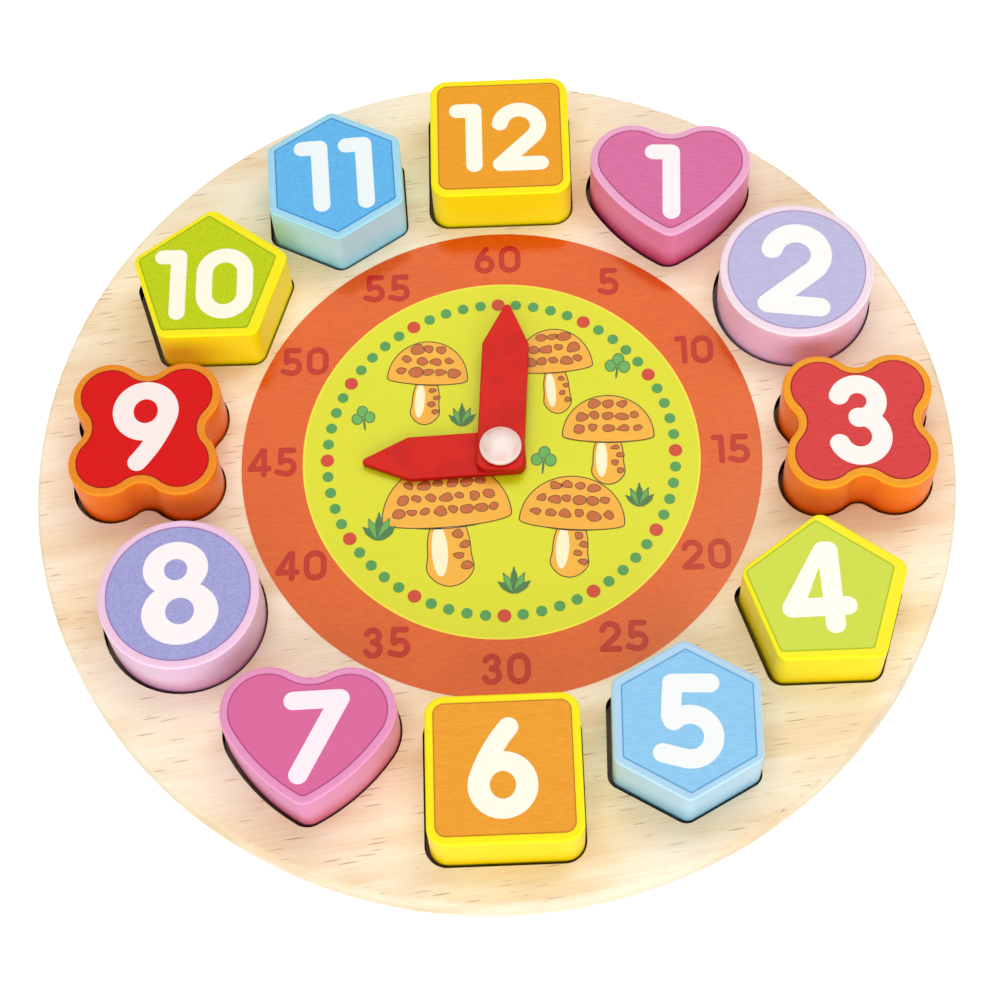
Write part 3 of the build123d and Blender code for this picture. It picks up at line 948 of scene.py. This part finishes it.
# ---------------------------------------------------------------- picture on the dial
@dataclass(frozen=True)
class PictureInks:
    """The inks of the picture, ready made."""

    line: bpy.types.Material
    amber: bpy.types.Material
    patch: bpy.types.Material
    cream: bpy.types.Material
    leaf: bpy.types.Material
    dark_leaf: bpy.types.Material


@dataclass
class Plates:
    """Prints flat shapes, each a thin plate of fill inside a dark line, in layers."""

    origin: Vector
    line_width: float = 0.27 * MM
    layer: float = 0.018 * MM

    def __post_init__(self) -> None:
        """Starts with no shape printed."""
        self.printed: list[bpy.types.Object] = []

    def at(self, x: float, y: float, level: int) -> Vector:
        """Point of the picture, from millimetres off the dial's middle and a layer number."""
        return self.origin + Vector((x * MM, y * MM, level * self.layer))

    def seal(self, piece: Workpiece, line: bpy.types.Material, fill: bpy.types.Material,
             line_share: float = 1.0) -> None:
        """Outlines a shaped blank, fills it and makes it a plate.

        Args:
            piece: The blank on the bench.
            line: Ink of its outline.
            fill: Ink inside the outline.
            line_share: Width of the line beside the usual one.
        """
        dress(piece.obj, line, fill)
        piece.pick("faces", lambda face: True)
        piece.inlay(self.line_width * line_share)
        piece.thicken(self.layer)
        self.printed.append(piece.finish(f"plate_{len(self.printed)}"))

    def joined(self, name: str) -> bpy.types.Object:
        """Joins all plates into one piece.

        Args:
            name: The piece's name.

        Returns:
            The joined object.
        """
        deselect()
        for obj in self.printed:
            obj.select_set(True)
        bpy.context.view_layer.objects.active = self.printed[0]
        bpy.ops.object.join()
        picture = bpy.context.object
        bpy.ops.object.transform_apply(location=True, rotation=True, scale=True)
        picture.name = name
        picture.data.name = name
        deselect()
        return picture


@dataclass(frozen=True)
class Mushroom:
    """A patched mushroom, placed by its foot, in millimetres off the dial's middle."""

    foot_x: float
    foot_y: float
    height: float
    width: float
    lean: float
    level: int
    seed: int

    stem_share: float = 0.34       # of the width
    stem_tuck: float = 1.12        # length beside what shows below the cap
    foot_start: float = 0.35       # half stems below its middle
    foot_flare: float = 1.35
    stem_eases: int = 2
    light_off: tuple[float, float] = (0.42, 0.95)   # stem radii aside, half stems up
    light_size: tuple[float, float] = (0.36, 0.66)  # likewise
    stem_patches: int = 4
    stem_patch_low: float = 0.4    # half stems up, where the patches start
    stem_patch_run: float = 1.1    # half stems that they cover
    stem_patch_off: tuple[float, float] = (0.75, 0.42)      # stem radii aside, by turns
    stem_patch_size: float = 0.26  # stem radii
    gill_share: float = 0.40       # of the width
    gill_lift: float = 0.2         # millimetres
    gill_flatness: float = 0.24
    cap_share: float = 0.46        # of the height
    cap_eases: int = 3
    brim_flatness: float = 0.16
    patch_radius: float = 1.45     # millimetres
    patch_pitch: float = 2.55      # patch radii from patch to patch
    first_row: float = 0.62        # of a row, above the brim
    last_row: float = 0.35         # of a row, left over at the top
    row_share: float = 0.94        # of the cap's width
    drift_aside: float = 0.12      # of a patch radius
    drift_down: float = 0.15
    drift_size: float = 0.14
    patch_stretch: tuple[float, float] = (1.12, 0.88)
    patch_roughness: float = 0.38  # patch radii
    patch_line: float = 0.7        # beside the usual line
    seed_step: int = 31
    golden_turn: float = math.pi * (3 - math.sqrt(5))
    stem_points: int = 40
    light_points: int = 24
    cap_points: int = 64
    patch_points: int = 14

    def print_on(self, plates: Plates, inks: PictureInks) -> None:
        """Prints stem, gills, cap and patches.

        Args:
            plates: Where it is printed.
            inks: The picture's inks.
        """
        foot = plates.at(self.foot_x, self.foot_y, self.level)
        cap_height = self.height * self.cap_share
        cap_base = self.foot_y + self.height - cap_height
        self.print_stem(plates, inks, foot, cap_base)
        self.print_gills(plates, inks, foot, cap_base)
        self.print_cap(plates, inks, foot, cap_base, cap_height)
        self.print_patches(plates, inks, foot, cap_base, cap_height)

    def print_stem(self, plates: Plates, inks: PictureInks, foot: Vector, cap_base: float) -> None:
        """Prints the stem, wider at its foot, with its light side and its patches."""
        half = (cap_base - self.foot_y) / 2 * self.stem_tuck
        centre = plates.at(self.foot_x, self.foot_y + half, self.level)
        radius = self.width * self.stem_share / 2
        stem = Workpiece.disc(centre, radius * MM, self.stem_points)
        stem.stretch(centre, 1.0, half / radius)
        low = centre.y - self.foot_start * half * MM
        stem.stretch(centre, self.foot_flare, 1.0, lambda vertex: vertex.co.y < low)
        stem.pick("verts", lambda vertex: True)
        stem.ease(self.stem_eases)
        stem.turn(foot, self.lean)
        plates.seal(stem, inks.line, inks.amber)
        aside, up = self.light_off
        side = plates.at(self.foot_x - radius * aside, self.foot_y + half * up, self.level + 1)
        across, along = self.light_size
        light = Workpiece.disc(side, radius * across * MM, self.light_points)
        light.stretch(side, 1.0, half * along / (radius * across))
        light.turn(foot, self.lean)
        plates.seal(light, inks.cream, inks.cream)
        for number in range(self.stem_patches):
            share = self.stem_patch_run * (number + 0.5) / self.stem_patches
            spot = (radius * self.stem_patch_off[number % 2],
                    self.foot_y + half * (self.stem_patch_low + share))
            self.print_patch(plates, inks, foot, spot, radius * self.stem_patch_size, number)

    def print_gills(self, plates: Plates, inks: PictureInks, foot: Vector, cap_base: float) -> None:
        """Prints the pale underside of the cap."""
        centre = plates.at(self.foot_x, cap_base + self.gill_lift, self.level + 1)
        gills = Workpiece.disc(centre, self.width * self.gill_share * MM, self.stem_points)
        gills.stretch(centre, 1.0, self.gill_flatness)
        gills.turn(foot, self.lean)
        plates.seal(gills, inks.line, inks.cream)

    def print_cap(self, plates: Plates, inks: PictureInks, foot: Vector, cap_base: float,
                  cap_height: float) -> None:
        """Prints the domed cap with a soft brim."""
        centre = plates.at(self.foot_x, cap_base, self.level + 2)
        radius = self.width / 2
        cap = Workpiece.disc(centre, radius * MM, self.cap_points)
        brim = centre.y + HAIR
        cap.stretch(centre, 1.0, cap_height / radius, lambda vertex: vertex.co.y > brim)
        cap.stretch(centre, 1.0, self.brim_flatness, lambda vertex: vertex.co.y <= brim)
        cap.pick("verts", lambda vertex: True)
        cap.ease(self.cap_eases)
        cap.turn(foot, self.lean)
        plates.seal(cap, inks.line, inks.amber)

    def print_patches(self, plates: Plates, inks: PictureInks, foot: Vector, cap_base: float,
                      cap_height: float) -> None:
        """Prints uneven patches in loose rows over the cap."""
        size = self.patch_radius
        pitch = size * self.patch_pitch
        rows = max(1, round(cap_height / pitch))
        number = 0
        for row in range(rows):
            rise = cap_height * (row + self.first_row) / (rows + self.last_row)
            chord = self.width / 2 * math.sqrt(1 - (rise / cap_height) ** 2)
            half = chord * self.row_share - size
            count = max(1, int(2 * half / pitch) + 1)
            for column in range(count):
                share = (column + 0.5) / count * 2 - 1
                drift = math.sin(self.seed + number * self.golden_turn)
                spot = (share * half + drift * size * self.drift_aside,
                        cap_base + rise - drift * size * self.drift_down)
                radius = size * (1.0 + self.drift_size * drift)
                self.print_patch(plates, inks, foot, spot, radius, number)
                number += 1

    def print_patch(self, plates: Plates, inks: PictureInks, foot: Vector,
                    spot: tuple[float, float], size: float, number: int) -> None:
        """Prints one uneven patch.

        Args:
            plates: Where it is printed.
            inks: The picture's inks.
            foot: The mushroom's foot.
            spot: The patch's middle: off the mushroom's middle line, and up the dial.
            size: Its radius, in millimetres.
            number: Which unevenness it gets.
        """
        centre = plates.at(self.foot_x + spot[0], spot[1], self.level + 3)
        patch = Workpiece.disc(centre, size * MM, self.patch_points)
        patch.stretch(centre, *self.patch_stretch)
        patch.roughen(size * self.patch_roughness * MM, self.seed * self.seed_step + number)
        patch.turn(foot, self.lean)
        plates.seal(patch, inks.line, inks.patch, self.patch_line)


@dataclass(frozen=True)
class Sprout:
    """A small plant: pointed leaves that fan out from one root."""

    root_x: float
    root_y: float
    leaf_length: float
    leaf_width: float
    leaves: int
    spread: float                  # degrees from the middle leaf to an outer one
    level: int = 0
    shortening: float = 0.28       # of an outer leaf, beside the middle one
    tip_start: float = 0.25        # leaf lengths above its middle
    tip_width: float = 0.55        # beside the rest of the leaf
    line: float = 0.8              # beside the usual line
    leaf_points: int = 16

    def print_on(self, plates: Plates, inks: PictureInks) -> None:
        """Prints the leaves, the outer ones shorter and every second one paler.

        Args:
            plates: Where it is printed.
            inks: The picture's inks.
        """
        root = plates.at(self.root_x, self.root_y, self.level)
        middle = (self.leaves - 1) / 2
        for number in range(self.leaves):
            off = (number - middle) / max(middle, 0.5)
            length = self.leaf_length * (1.0 - self.shortening * abs(off))
            centre = plates.at(self.root_x, self.root_y + length / 2, self.level + number)
            leaf = Workpiece.disc(centre, self.leaf_width / 2 * MM, self.leaf_points)
            leaf.stretch(centre, 1.0, length / self.leaf_width)
            tip = centre.y + length * self.tip_start * MM
            leaf.stretch(centre + Vector((0.0, length / 2 * MM, 0.0)), self.tip_width, 1.0,
                         lambda vertex: vertex.co.y > tip)
            leaf.turn(root, -off * self.spread)
            fill = inks.leaf if number % 2 else inks.dark_leaf
            plates.seal(leaf, inks.dark_leaf, fill, self.line)


@dataclass(frozen=True)
class Clover:
    """Three round leaves on a thin stalk."""

    root_x: float
    root_y: float
    height: float
    leaf_radius: float
    lean: float
    level: int = 0
    stalk_radius: float = 0.3      # millimetres
    stalk_line: float = 0.4        # beside the usual line
    side_leaf_off: float = 1.05    # leaf radii aside
    top_leaf_off: float = 1.25     # leaf radii up
    leaf_stretch: tuple[float, float] = (0.95, 1.1)
    stalk_points: int = 16
    leaf_points: int = 24

    def print_on(self, plates: Plates, inks: PictureInks) -> None:
        """Prints the stalk, then the three leaves round its end.

        Args:
            plates: Where it is printed.
            inks: The picture's inks.
        """
        root = plates.at(self.root_x, self.root_y, self.level)
        middle = plates.at(self.root_x, self.root_y + self.height / 2, self.level)
        stalk = Workpiece.disc(middle, self.stalk_radius * MM, self.stalk_points)
        stalk.stretch(middle, 1.0, self.height / (2 * self.stalk_radius))
        stalk.turn(root, self.lean)
        plates.seal(stalk, inks.dark_leaf, inks.dark_leaf, self.stalk_line)
        top = self.root_y + self.height
        for side in (-1, 0, 1):
            x = self.root_x + side * self.leaf_radius * self.side_leaf_off
            y = top + (1 - abs(side)) * self.leaf_radius * self.top_leaf_off
            centre = plates.at(x, y, self.level + 2 + side)
            leaf = Workpiece.disc(centre, self.leaf_radius * MM, self.leaf_points)
            leaf.stretch(centre, *self.leaf_stretch)
            leaf.turn(root, self.lean)
            plates.seal(leaf, inks.dark_leaf, inks.leaf)


# ---------------------------------------------------------------- dial
@dataclass
class Dial:
    """Everything printed in the middle of the board, under one coat of varnish."""

    nodes: dict[str, bpy.types.Object]
    ring: DialInk = DialInk(srgb(218, 78, 8), grain=0.5, mottle=0.35)
    field: DialInk = DialInk(srgb(215, 219, 22), grain=0.2, mottle=0.12)
    edge: DialInk = DialInk(srgb(240, 226, 60))
    green: DialInk = DialInk(srgb(46, 148, 76))
    red: DialInk = DialInk(srgb(200, 26, 34))
    numeral: DialInk = DialInk(srgb(188, 4, 26), grain=0.4, mottle=0.25, gloss=0.4)
    edge_line: float = 0.45 * MM
    edge_overlap: float = 0.3      # of the line's width, over the ring
    edge_height: float = 0.02 * MM
    edge_points: int = 180

    picture_line: DialInk = DialInk(srgb(58, 32, 14))
    picture_amber: DialInk = DialInk(srgb(240, 172, 52))
    picture_patch: DialInk = DialInk(srgb(192, 86, 40))
    picture_cream: DialInk = DialInk(srgb(252, 240, 206))
    picture_leaf: DialInk = DialInk(srgb(82, 172, 84))
    picture_dark_leaf: DialInk = DialInk(srgb(28, 112, 66))
    mushrooms: tuple[Mushroom, ...] = (
        Mushroom(-12.5, -35.0, 34.0, 32.0, 3.0, 0, 1),
        Mushroom(15.5, -33.5, 27.5, 26.0, -5.0, 0, 4),
        Mushroom(26.0, -9.0, 25.0, 23.0, -2.0, 4, 2),
        Mushroom(14.5, 11.0, 24.5, 19.5, 3.0, 0, 7),
        Mushroom(-19.0, 9.0, 24.0, 20.5, -4.0, 0, 5),
    )
    plants: tuple[Union[Sprout, Clover], ...] = (
        Sprout(2.5, -37.0, 7.0, 1.7, 5, 52.0, 4),
        Sprout(-30.0, -22.0, 7.5, 1.9, 5, 48.0, 4),
        Sprout(33.5, -15.0, 6.5, 1.6, 5, 48.0, 3),
        Sprout(-9.5, 8.5, 6.5, 1.6, 5, 46.0, 3),
        Clover(29.0, 20.5, 3.6, 1.6, -8.0),
        Clover(-33.5, 8.0, 3.6, 1.5, 8.0),
        Clover(10.0, -5.5, 4.0, 1.6, -6.0),
    )

    def dress(self) -> None:
        """Gives each printed layer its ink."""
        inks = {"dial_ring_print": self.ring, "dial_field_print": self.field,
                "minute_dots": self.green, "five_minute_dots": self.red,
                "minute_numerals": self.numeral}
        for node, ink in inks.items():
            dress(self.nodes[node], ink.make(f"{node}_ink"))
        log.info("dial printed in %d inks", len(inks))

    def field_top(self) -> tuple[Vector, float]:
        """Middle of the field's top, and the field's radius."""
        low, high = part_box("dial_field_print")
        return Vector(((low.x + high.x) / 2, (low.y + high.y) / 2, high.z)), (high.x - low.x) / 2

    def print_edge(self) -> None:
        """Prints the thin bright line where the field meets the ring."""
        centre, radius = self.field_top()
        radius += self.edge_line * self.edge_overlap
        piece = Workpiece.disc(centre, radius, self.edge_points)
        piece.pick("faces", lambda face: True)
        bpy.ops.mesh.inset(thickness=self.edge_line, use_even_offset=True)
        bpy.ops.mesh.delete(type="FACE")
        piece.thicken(self.edge_height)
        line = piece.finish("field_edge_line")
        dress(line, self.edge.make("field_edge_ink"))
        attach(line, BOARD_BODY)
        log.info("field edge line printed, %.2f mm wide", self.edge_line / MM)

    def print_picture(self) -> None:
        """Prints the patched mushrooms and the plants round them."""
        centre, _ = self.field_top()
        plates = Plates(centre)
        materials = {}
        for name in (field.name for field in fields(PictureInks)):
            ink: DialInk = getattr(self, f"picture_{name}")
            materials[name] = ink.make(f"picture_{name}_ink")
        inks = PictureInks(**materials)
        for motif in self.mushrooms + self.plants:
            motif.print_on(plates, inks)
        count = len(plates.printed)
        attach(plates.joined("dial_picture"), BOARD_BODY)
        log.info("picture printed from %d plates", count)


# ---------------------------------------------------------------- hands and pivot
@dataclass
class Hands:
    """The two hands and the pin that they turn on."""

    nodes: dict[str, bpy.types.Object]

    def dress(self) -> None:
        """Gives the hands and the pin their plastics."""
        for node in ("hour_hand", "minute_hand"):
            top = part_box(node)[1].z
            dress(self.nodes[node], HandPlastic().make(f"{node}_plastic", top))
        low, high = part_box("pivot_pin")
        centre, radius = (low + high) / 2, (high.x - low.x) / 2
        for node in ("pivot_pin", "pivot_socket"):
            dress(self.nodes[node], MilkyPlastic().make(f"{node}_plastic", centre, radius))
        log.info("hands and pin dressed")


# ---------------------------------------------------------------- number blocks
@dataclass(frozen=True)
class BlockColours:
    """The colours of one block: its paint, with painted light in the rim's tone and painted shade
    in the foot's, and the print on its face.
    """

    rim: Colour
    wall: Colour
    foot: Colour
    face: Colour
    face_edge: Colour
    numeral: Colour
    skin: Skin


# rim and foot tones stand for light and shade: painted light on the top, painted shade at the foot
# of the walls
BLOCK_COLOURS: dict[int, BlockColours] = {
    1: BlockColours(srgb(232, 166, 206), srgb(228, 132, 182), srgb(194, 62, 106),
                    srgb(214, 111, 163), srgb(178, 82, 130), srgb(250, 242, 247),
                    Skin.BRUSHED),
    2: BlockColours(srgb(240, 220, 236), srgb(242, 200, 236), srgb(240, 188, 230),
                    srgb(188, 186, 226), srgb(176, 148, 194), srgb(249, 249, 250),
                    Skin.BRUSHED),
    3: BlockColours(srgb(238, 156, 28), srgb(244, 124, 10), srgb(240, 98, 6),
                    srgb(215, 66, 68), srgb(167, 36, 28), srgb(250, 245, 244),
                    Skin.BRUSHED),
    4: BlockColours(srgb(250, 236, 26), srgb(250, 230, 16), srgb(244, 212, 10),
                    srgb(205, 220, 76), srgb(172, 194, 38), srgb(252, 252, 240),
                    Skin.SATIN),
    5: BlockColours(srgb(174, 212, 240), srgb(180, 218, 244), srgb(146, 200, 230),
                    srgb(142, 202, 244), srgb(95, 162, 218), srgb(243, 248, 252),
                    Skin.BRUSHED),
    6: BlockColours(srgb(255, 234, 16), srgb(255, 230, 12), srgb(252, 216, 8),
                    srgb(236, 159, 46), srgb(198, 130, 32), srgb(251, 251, 235),
                    Skin.BRUSHED),
    7: BlockColours(srgb(228, 148, 194), srgb(226, 148, 198), srgb(212, 108, 136),
                    srgb(216, 104, 159), srgb(181, 80, 130), srgb(250, 236, 247),
                    Skin.SATIN),
    8: BlockColours(srgb(238, 198, 228), srgb(230, 198, 228), srgb(208, 146, 182),
                    srgb(160, 161, 217), srgb(149, 124, 186), srgb(250, 243, 248),
                    Skin.PEBBLED),
    9: BlockColours(srgb(232, 138, 24), srgb(242, 118, 8), srgb(236, 92, 6),
                    srgb(216, 7, 7), srgb(166, 3, 2), srgb(248, 234, 234),
                    Skin.PEBBLED),
    10: BlockColours(srgb(246, 232, 8), srgb(255, 240, 6), srgb(255, 234, 6),
                     srgb(189, 207, 7), srgb(157, 177, 4), srgb(251, 249, 231),
                     Skin.PEBBLED),
    11: BlockColours(srgb(158, 212, 238), srgb(184, 232, 255), srgb(150, 214, 240),
                     srgb(97, 181, 238), srgb(58, 138, 208), srgb(235, 245, 250),
                     Skin.PEBBLED),
    12: BlockColours(srgb(254, 232, 8), srgb(255, 236, 16), srgb(255, 230, 14),
                     srgb(236, 159, 35), srgb(193, 127, 23), srgb(252, 251, 236),
                     Skin.BRUSHED),
}


@dataclass
class NumberBlock:
    """One lift-out block: painted wood, a printed face with a darker edge, and a pale numeral."""

    nodes: dict[str, bpy.types.Object]
    hour: int
    numeral_contrast: float = 0.05
    face_edge_width: float = 0.32 * MM
    face_level: float = 0.9        # how level a face of the print is if it is the top one

    def dress(self) -> None:
        """Paints the wood and prints the numeral."""
        name, colours = f"block_{self.hour}", BLOCK_COLOURS[self.hour]
        paint = BlockPaint(colours.rim, colours.wall, colours.foot, colours.skin)
        board_top, block_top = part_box("face_board")[1].z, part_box(name)[1].z
        dress(self.nodes[name], paint.make(f"{name}_paint", board_top, block_top))
        ink = FaceInk(colours.numeral, colours.skin, contrast=self.numeral_contrast)
        dress(self.nodes[f"{name}_numeral"], ink.make(f"{name}_numeral_ink"))

    def print_face(self) -> None:
        """Prints the face again with the darker edge that ink leaves where it ends."""
        name, colours = f"block_{self.hour}", BLOCK_COLOURS[self.hour]
        node = f"{name}_face"
        piece = Workpiece.copy_of(self.nodes[node], f"{name}_print")
        dress(piece.obj, FaceInk(colours.face_edge, colours.skin).make(f"{name}_face_edge_ink"),
              FaceInk(colours.face, colours.skin).make(f"{name}_face_ink"))
        piece.pick("faces", lambda face: face.normal.z > self.face_level)
        bpy.ops.mesh.dissolve_faces()
        piece.inlay(self.face_edge_width)
        printed = piece.finish(f"{name}_print")
        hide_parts(node)
        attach(printed, name)
        log.info("block %d dressed", self.hour)


# ---------------------------------------------------------------- studio
@dataclass(frozen=True)
class Softbox:
    """A flat soft lamp that points at the clock."""

    name: str
    place: tuple[float, float, float]
    width: float
    height: float
    brightness: float              # radiance of its face
    colour: tuple[float, float, float] = WHITE[:3]

    def hang(self) -> None:
        """Hangs the lamp."""
        lamp = bpy.data.lights.new(self.name, "AREA")
        lamp.shape = "RECTANGLE"
        lamp.size, lamp.size_y = self.width, self.height
        lamp.energy = self.brightness * math.pi * self.width * self.height
        lamp.color = self.colour
        obj = bpy.data.objects.new(self.name, lamp)
        bpy.context.scene.collection.objects.link(obj)
        obj.location = self.place
        obj.rotation_euler = Vector(self.place).to_track_quat("Z", "Y").to_euler()


@dataclass
class Studio:
    """Floor, soft light and camera."""

    footprint: float               # radius where the floor is left open, for light from below
    floor_radius: float = 3.0
    floor_points: int = 64
    floor_colour: Colour = grey(0.9)
    floor_lift: float = 0.35       # added where the camera sees the floor, to read as white paper
    far_lift: float = 0.35         # added besides, away from the lamps
    far_rise: Rise = (0.35, 1.2)   # metres from the clock
    surround: float = 0.54
    below: float = 0.95            # the surround under the floor, which lights the underside
    ambient: Colour = (1.0, 0.955, 0.88, 1.0)
    boxes: tuple[Softbox, ...] = (
        Softbox("back_softbox", (0.04, 0.42, 0.82), 0.85, 0.52, 1.6),
        Softbox("right_softbox", (0.35, 0.38, 0.80), 0.36, 0.50, 1.6),
        Softbox("front_softbox", (0.06, -0.98, 0.46), 1.25, 0.70, 2.33),
        Softbox("top_softbox", (-0.25, -0.15, 0.95), 0.18, 0.18, 6.2),
    )
    lens: float = 85.0
    distance: float = 575.2 * MM
    target: tuple[float, float, float] = (1.19 * MM, -10.70 * MM, 8.0 * MM)
    elevation: float = 63.98       # degrees above the dial, as below
    heading: float = 2.687         # round from 6 o'clock towards 3
    roll: float = -4.132

    def lay_floor(self) -> None:
        """Lays a round pale floor under the clock."""
        piece = Workpiece.disc(Vector((0.0, 0.0, 0.0)), self.floor_radius, self.floor_points)
        floor = piece.finish("floor")
        material, graph = new_material("pale_floor")
        paper = graph.add("ShaderNodeBsdfDiffuse", {"Color": self.floor_colour})
        seen = graph.add("ShaderNodeLightPath").outputs["Is Camera Ray"]
        place = graph.add("ShaderNodeTexCoord").outputs["Object"]
        radius = graph.add("ShaderNodeVectorMath", {0: place}, operation="LENGTH").outputs["Value"]
        far = graph.math("MULTIPLY", graph.smooth(radius, *self.far_rise), self.far_lift)
        strength = graph.math("MULTIPLY", seen, graph.math("ADD", far, self.floor_lift))
        lift = graph.add("ShaderNodeEmission", {"Strength": strength})
        both = graph.add("ShaderNodeAddShader", {0: paper.outputs[0], 1: lift.outputs[0]})
        from_below = graph.add("ShaderNodeNewGeometry").outputs["Backfacing"]
        under = graph.math("LESS_THAN", radius, self.footprint)
        clear = graph.add("ShaderNodeBsdfTransparent")
        feeds = {0: graph.math("MAXIMUM", from_below, under), 1: both.outputs[0],
                 2: clear.outputs[0]}
        shader = graph.add("ShaderNodeMixShader", feeds)
        graph.add("ShaderNodeOutputMaterial", {"Surface": shader.outputs[0]})
        dress(floor, material)
        floor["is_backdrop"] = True

    def light(self) -> None:
        """Hangs the lamps in a plain pale surround."""
        world = bpy.data.worlds.new("surround")
        bpy.context.scene.world = world
        world.use_nodes = True
        graph = Graph(world.node_tree)
        path = graph.add("ShaderNodeLightPath").outputs
        direct = graph.math("MAXIMUM", path["Is Camera Ray"], path["Is Transmission Ray"])
        _, _, up = graph.split(graph.add("ShaderNodeTexCoord").outputs["Generated"])
        level = graph.mix(graph.math("LESS_THAN", up, 0.0), grey(self.surround), grey(self.below))
        strength = graph.math("MAXIMUM", direct, level)
        tint = graph.mix(direct, self.ambient, WHITE)
        sky = graph.add("ShaderNodeBackground", {"Color": tint, "Strength": strength})
        graph.add("ShaderNodeOutputWorld", {"Surface": sky.outputs[0]})
        for box in self.boxes:
            box.hang()

    def set_camera(self) -> None:
        """Sets the camera by its target, its angles and its distance."""
        camera = bpy.data.cameras.new("camera")
        camera.lens = self.lens
        obj = bpy.data.objects.new("camera", camera)
        bpy.context.scene.collection.objects.link(obj)
        turn = Matrix.Rotation(math.radians(self.heading), 4, "Z")
        tilt = Matrix.Rotation(math.radians(90 - self.elevation), 4, "X")
        roll = Matrix.Rotation(math.radians(self.roll), 4, "Z")
        frame = turn @ tilt @ roll
        back = frame.to_3x3() @ Vector((0.0, 0.0, 1.0))
        obj.matrix_world = Matrix.Translation(Vector(self.target) + back * self.distance) @ frame
        bpy.context.scene.camera = obj
        bpy.context.scene.view_settings.view_transform = "Standard"
        log.info("camera set %.0f mm from the dial", self.distance / MM)


def main() -> None:
    """Builds the sub-assemblies in order, then the studio round them."""
    logging.basicConfig(level=logging.INFO, format="%(name)s: %(message)s")
    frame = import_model()
    cad_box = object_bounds()
    nodes = frame["nodes"]
    Board(nodes).dress()
    dial = Dial(nodes)
    dial.dress()
    dial.print_edge()
    dial.print_picture()
    Hands(nodes).dress()
    for hour in HOURS:
        block = NumberBlock(nodes, hour)
        block.dress()
        block.print_face()
    studio = Studio(footprint=cad_box[1].x - Board.edge_inset)
    studio.lay_floor()
    studio.light()
    studio.set_camera()


if __name__ == "__main__":
    main()
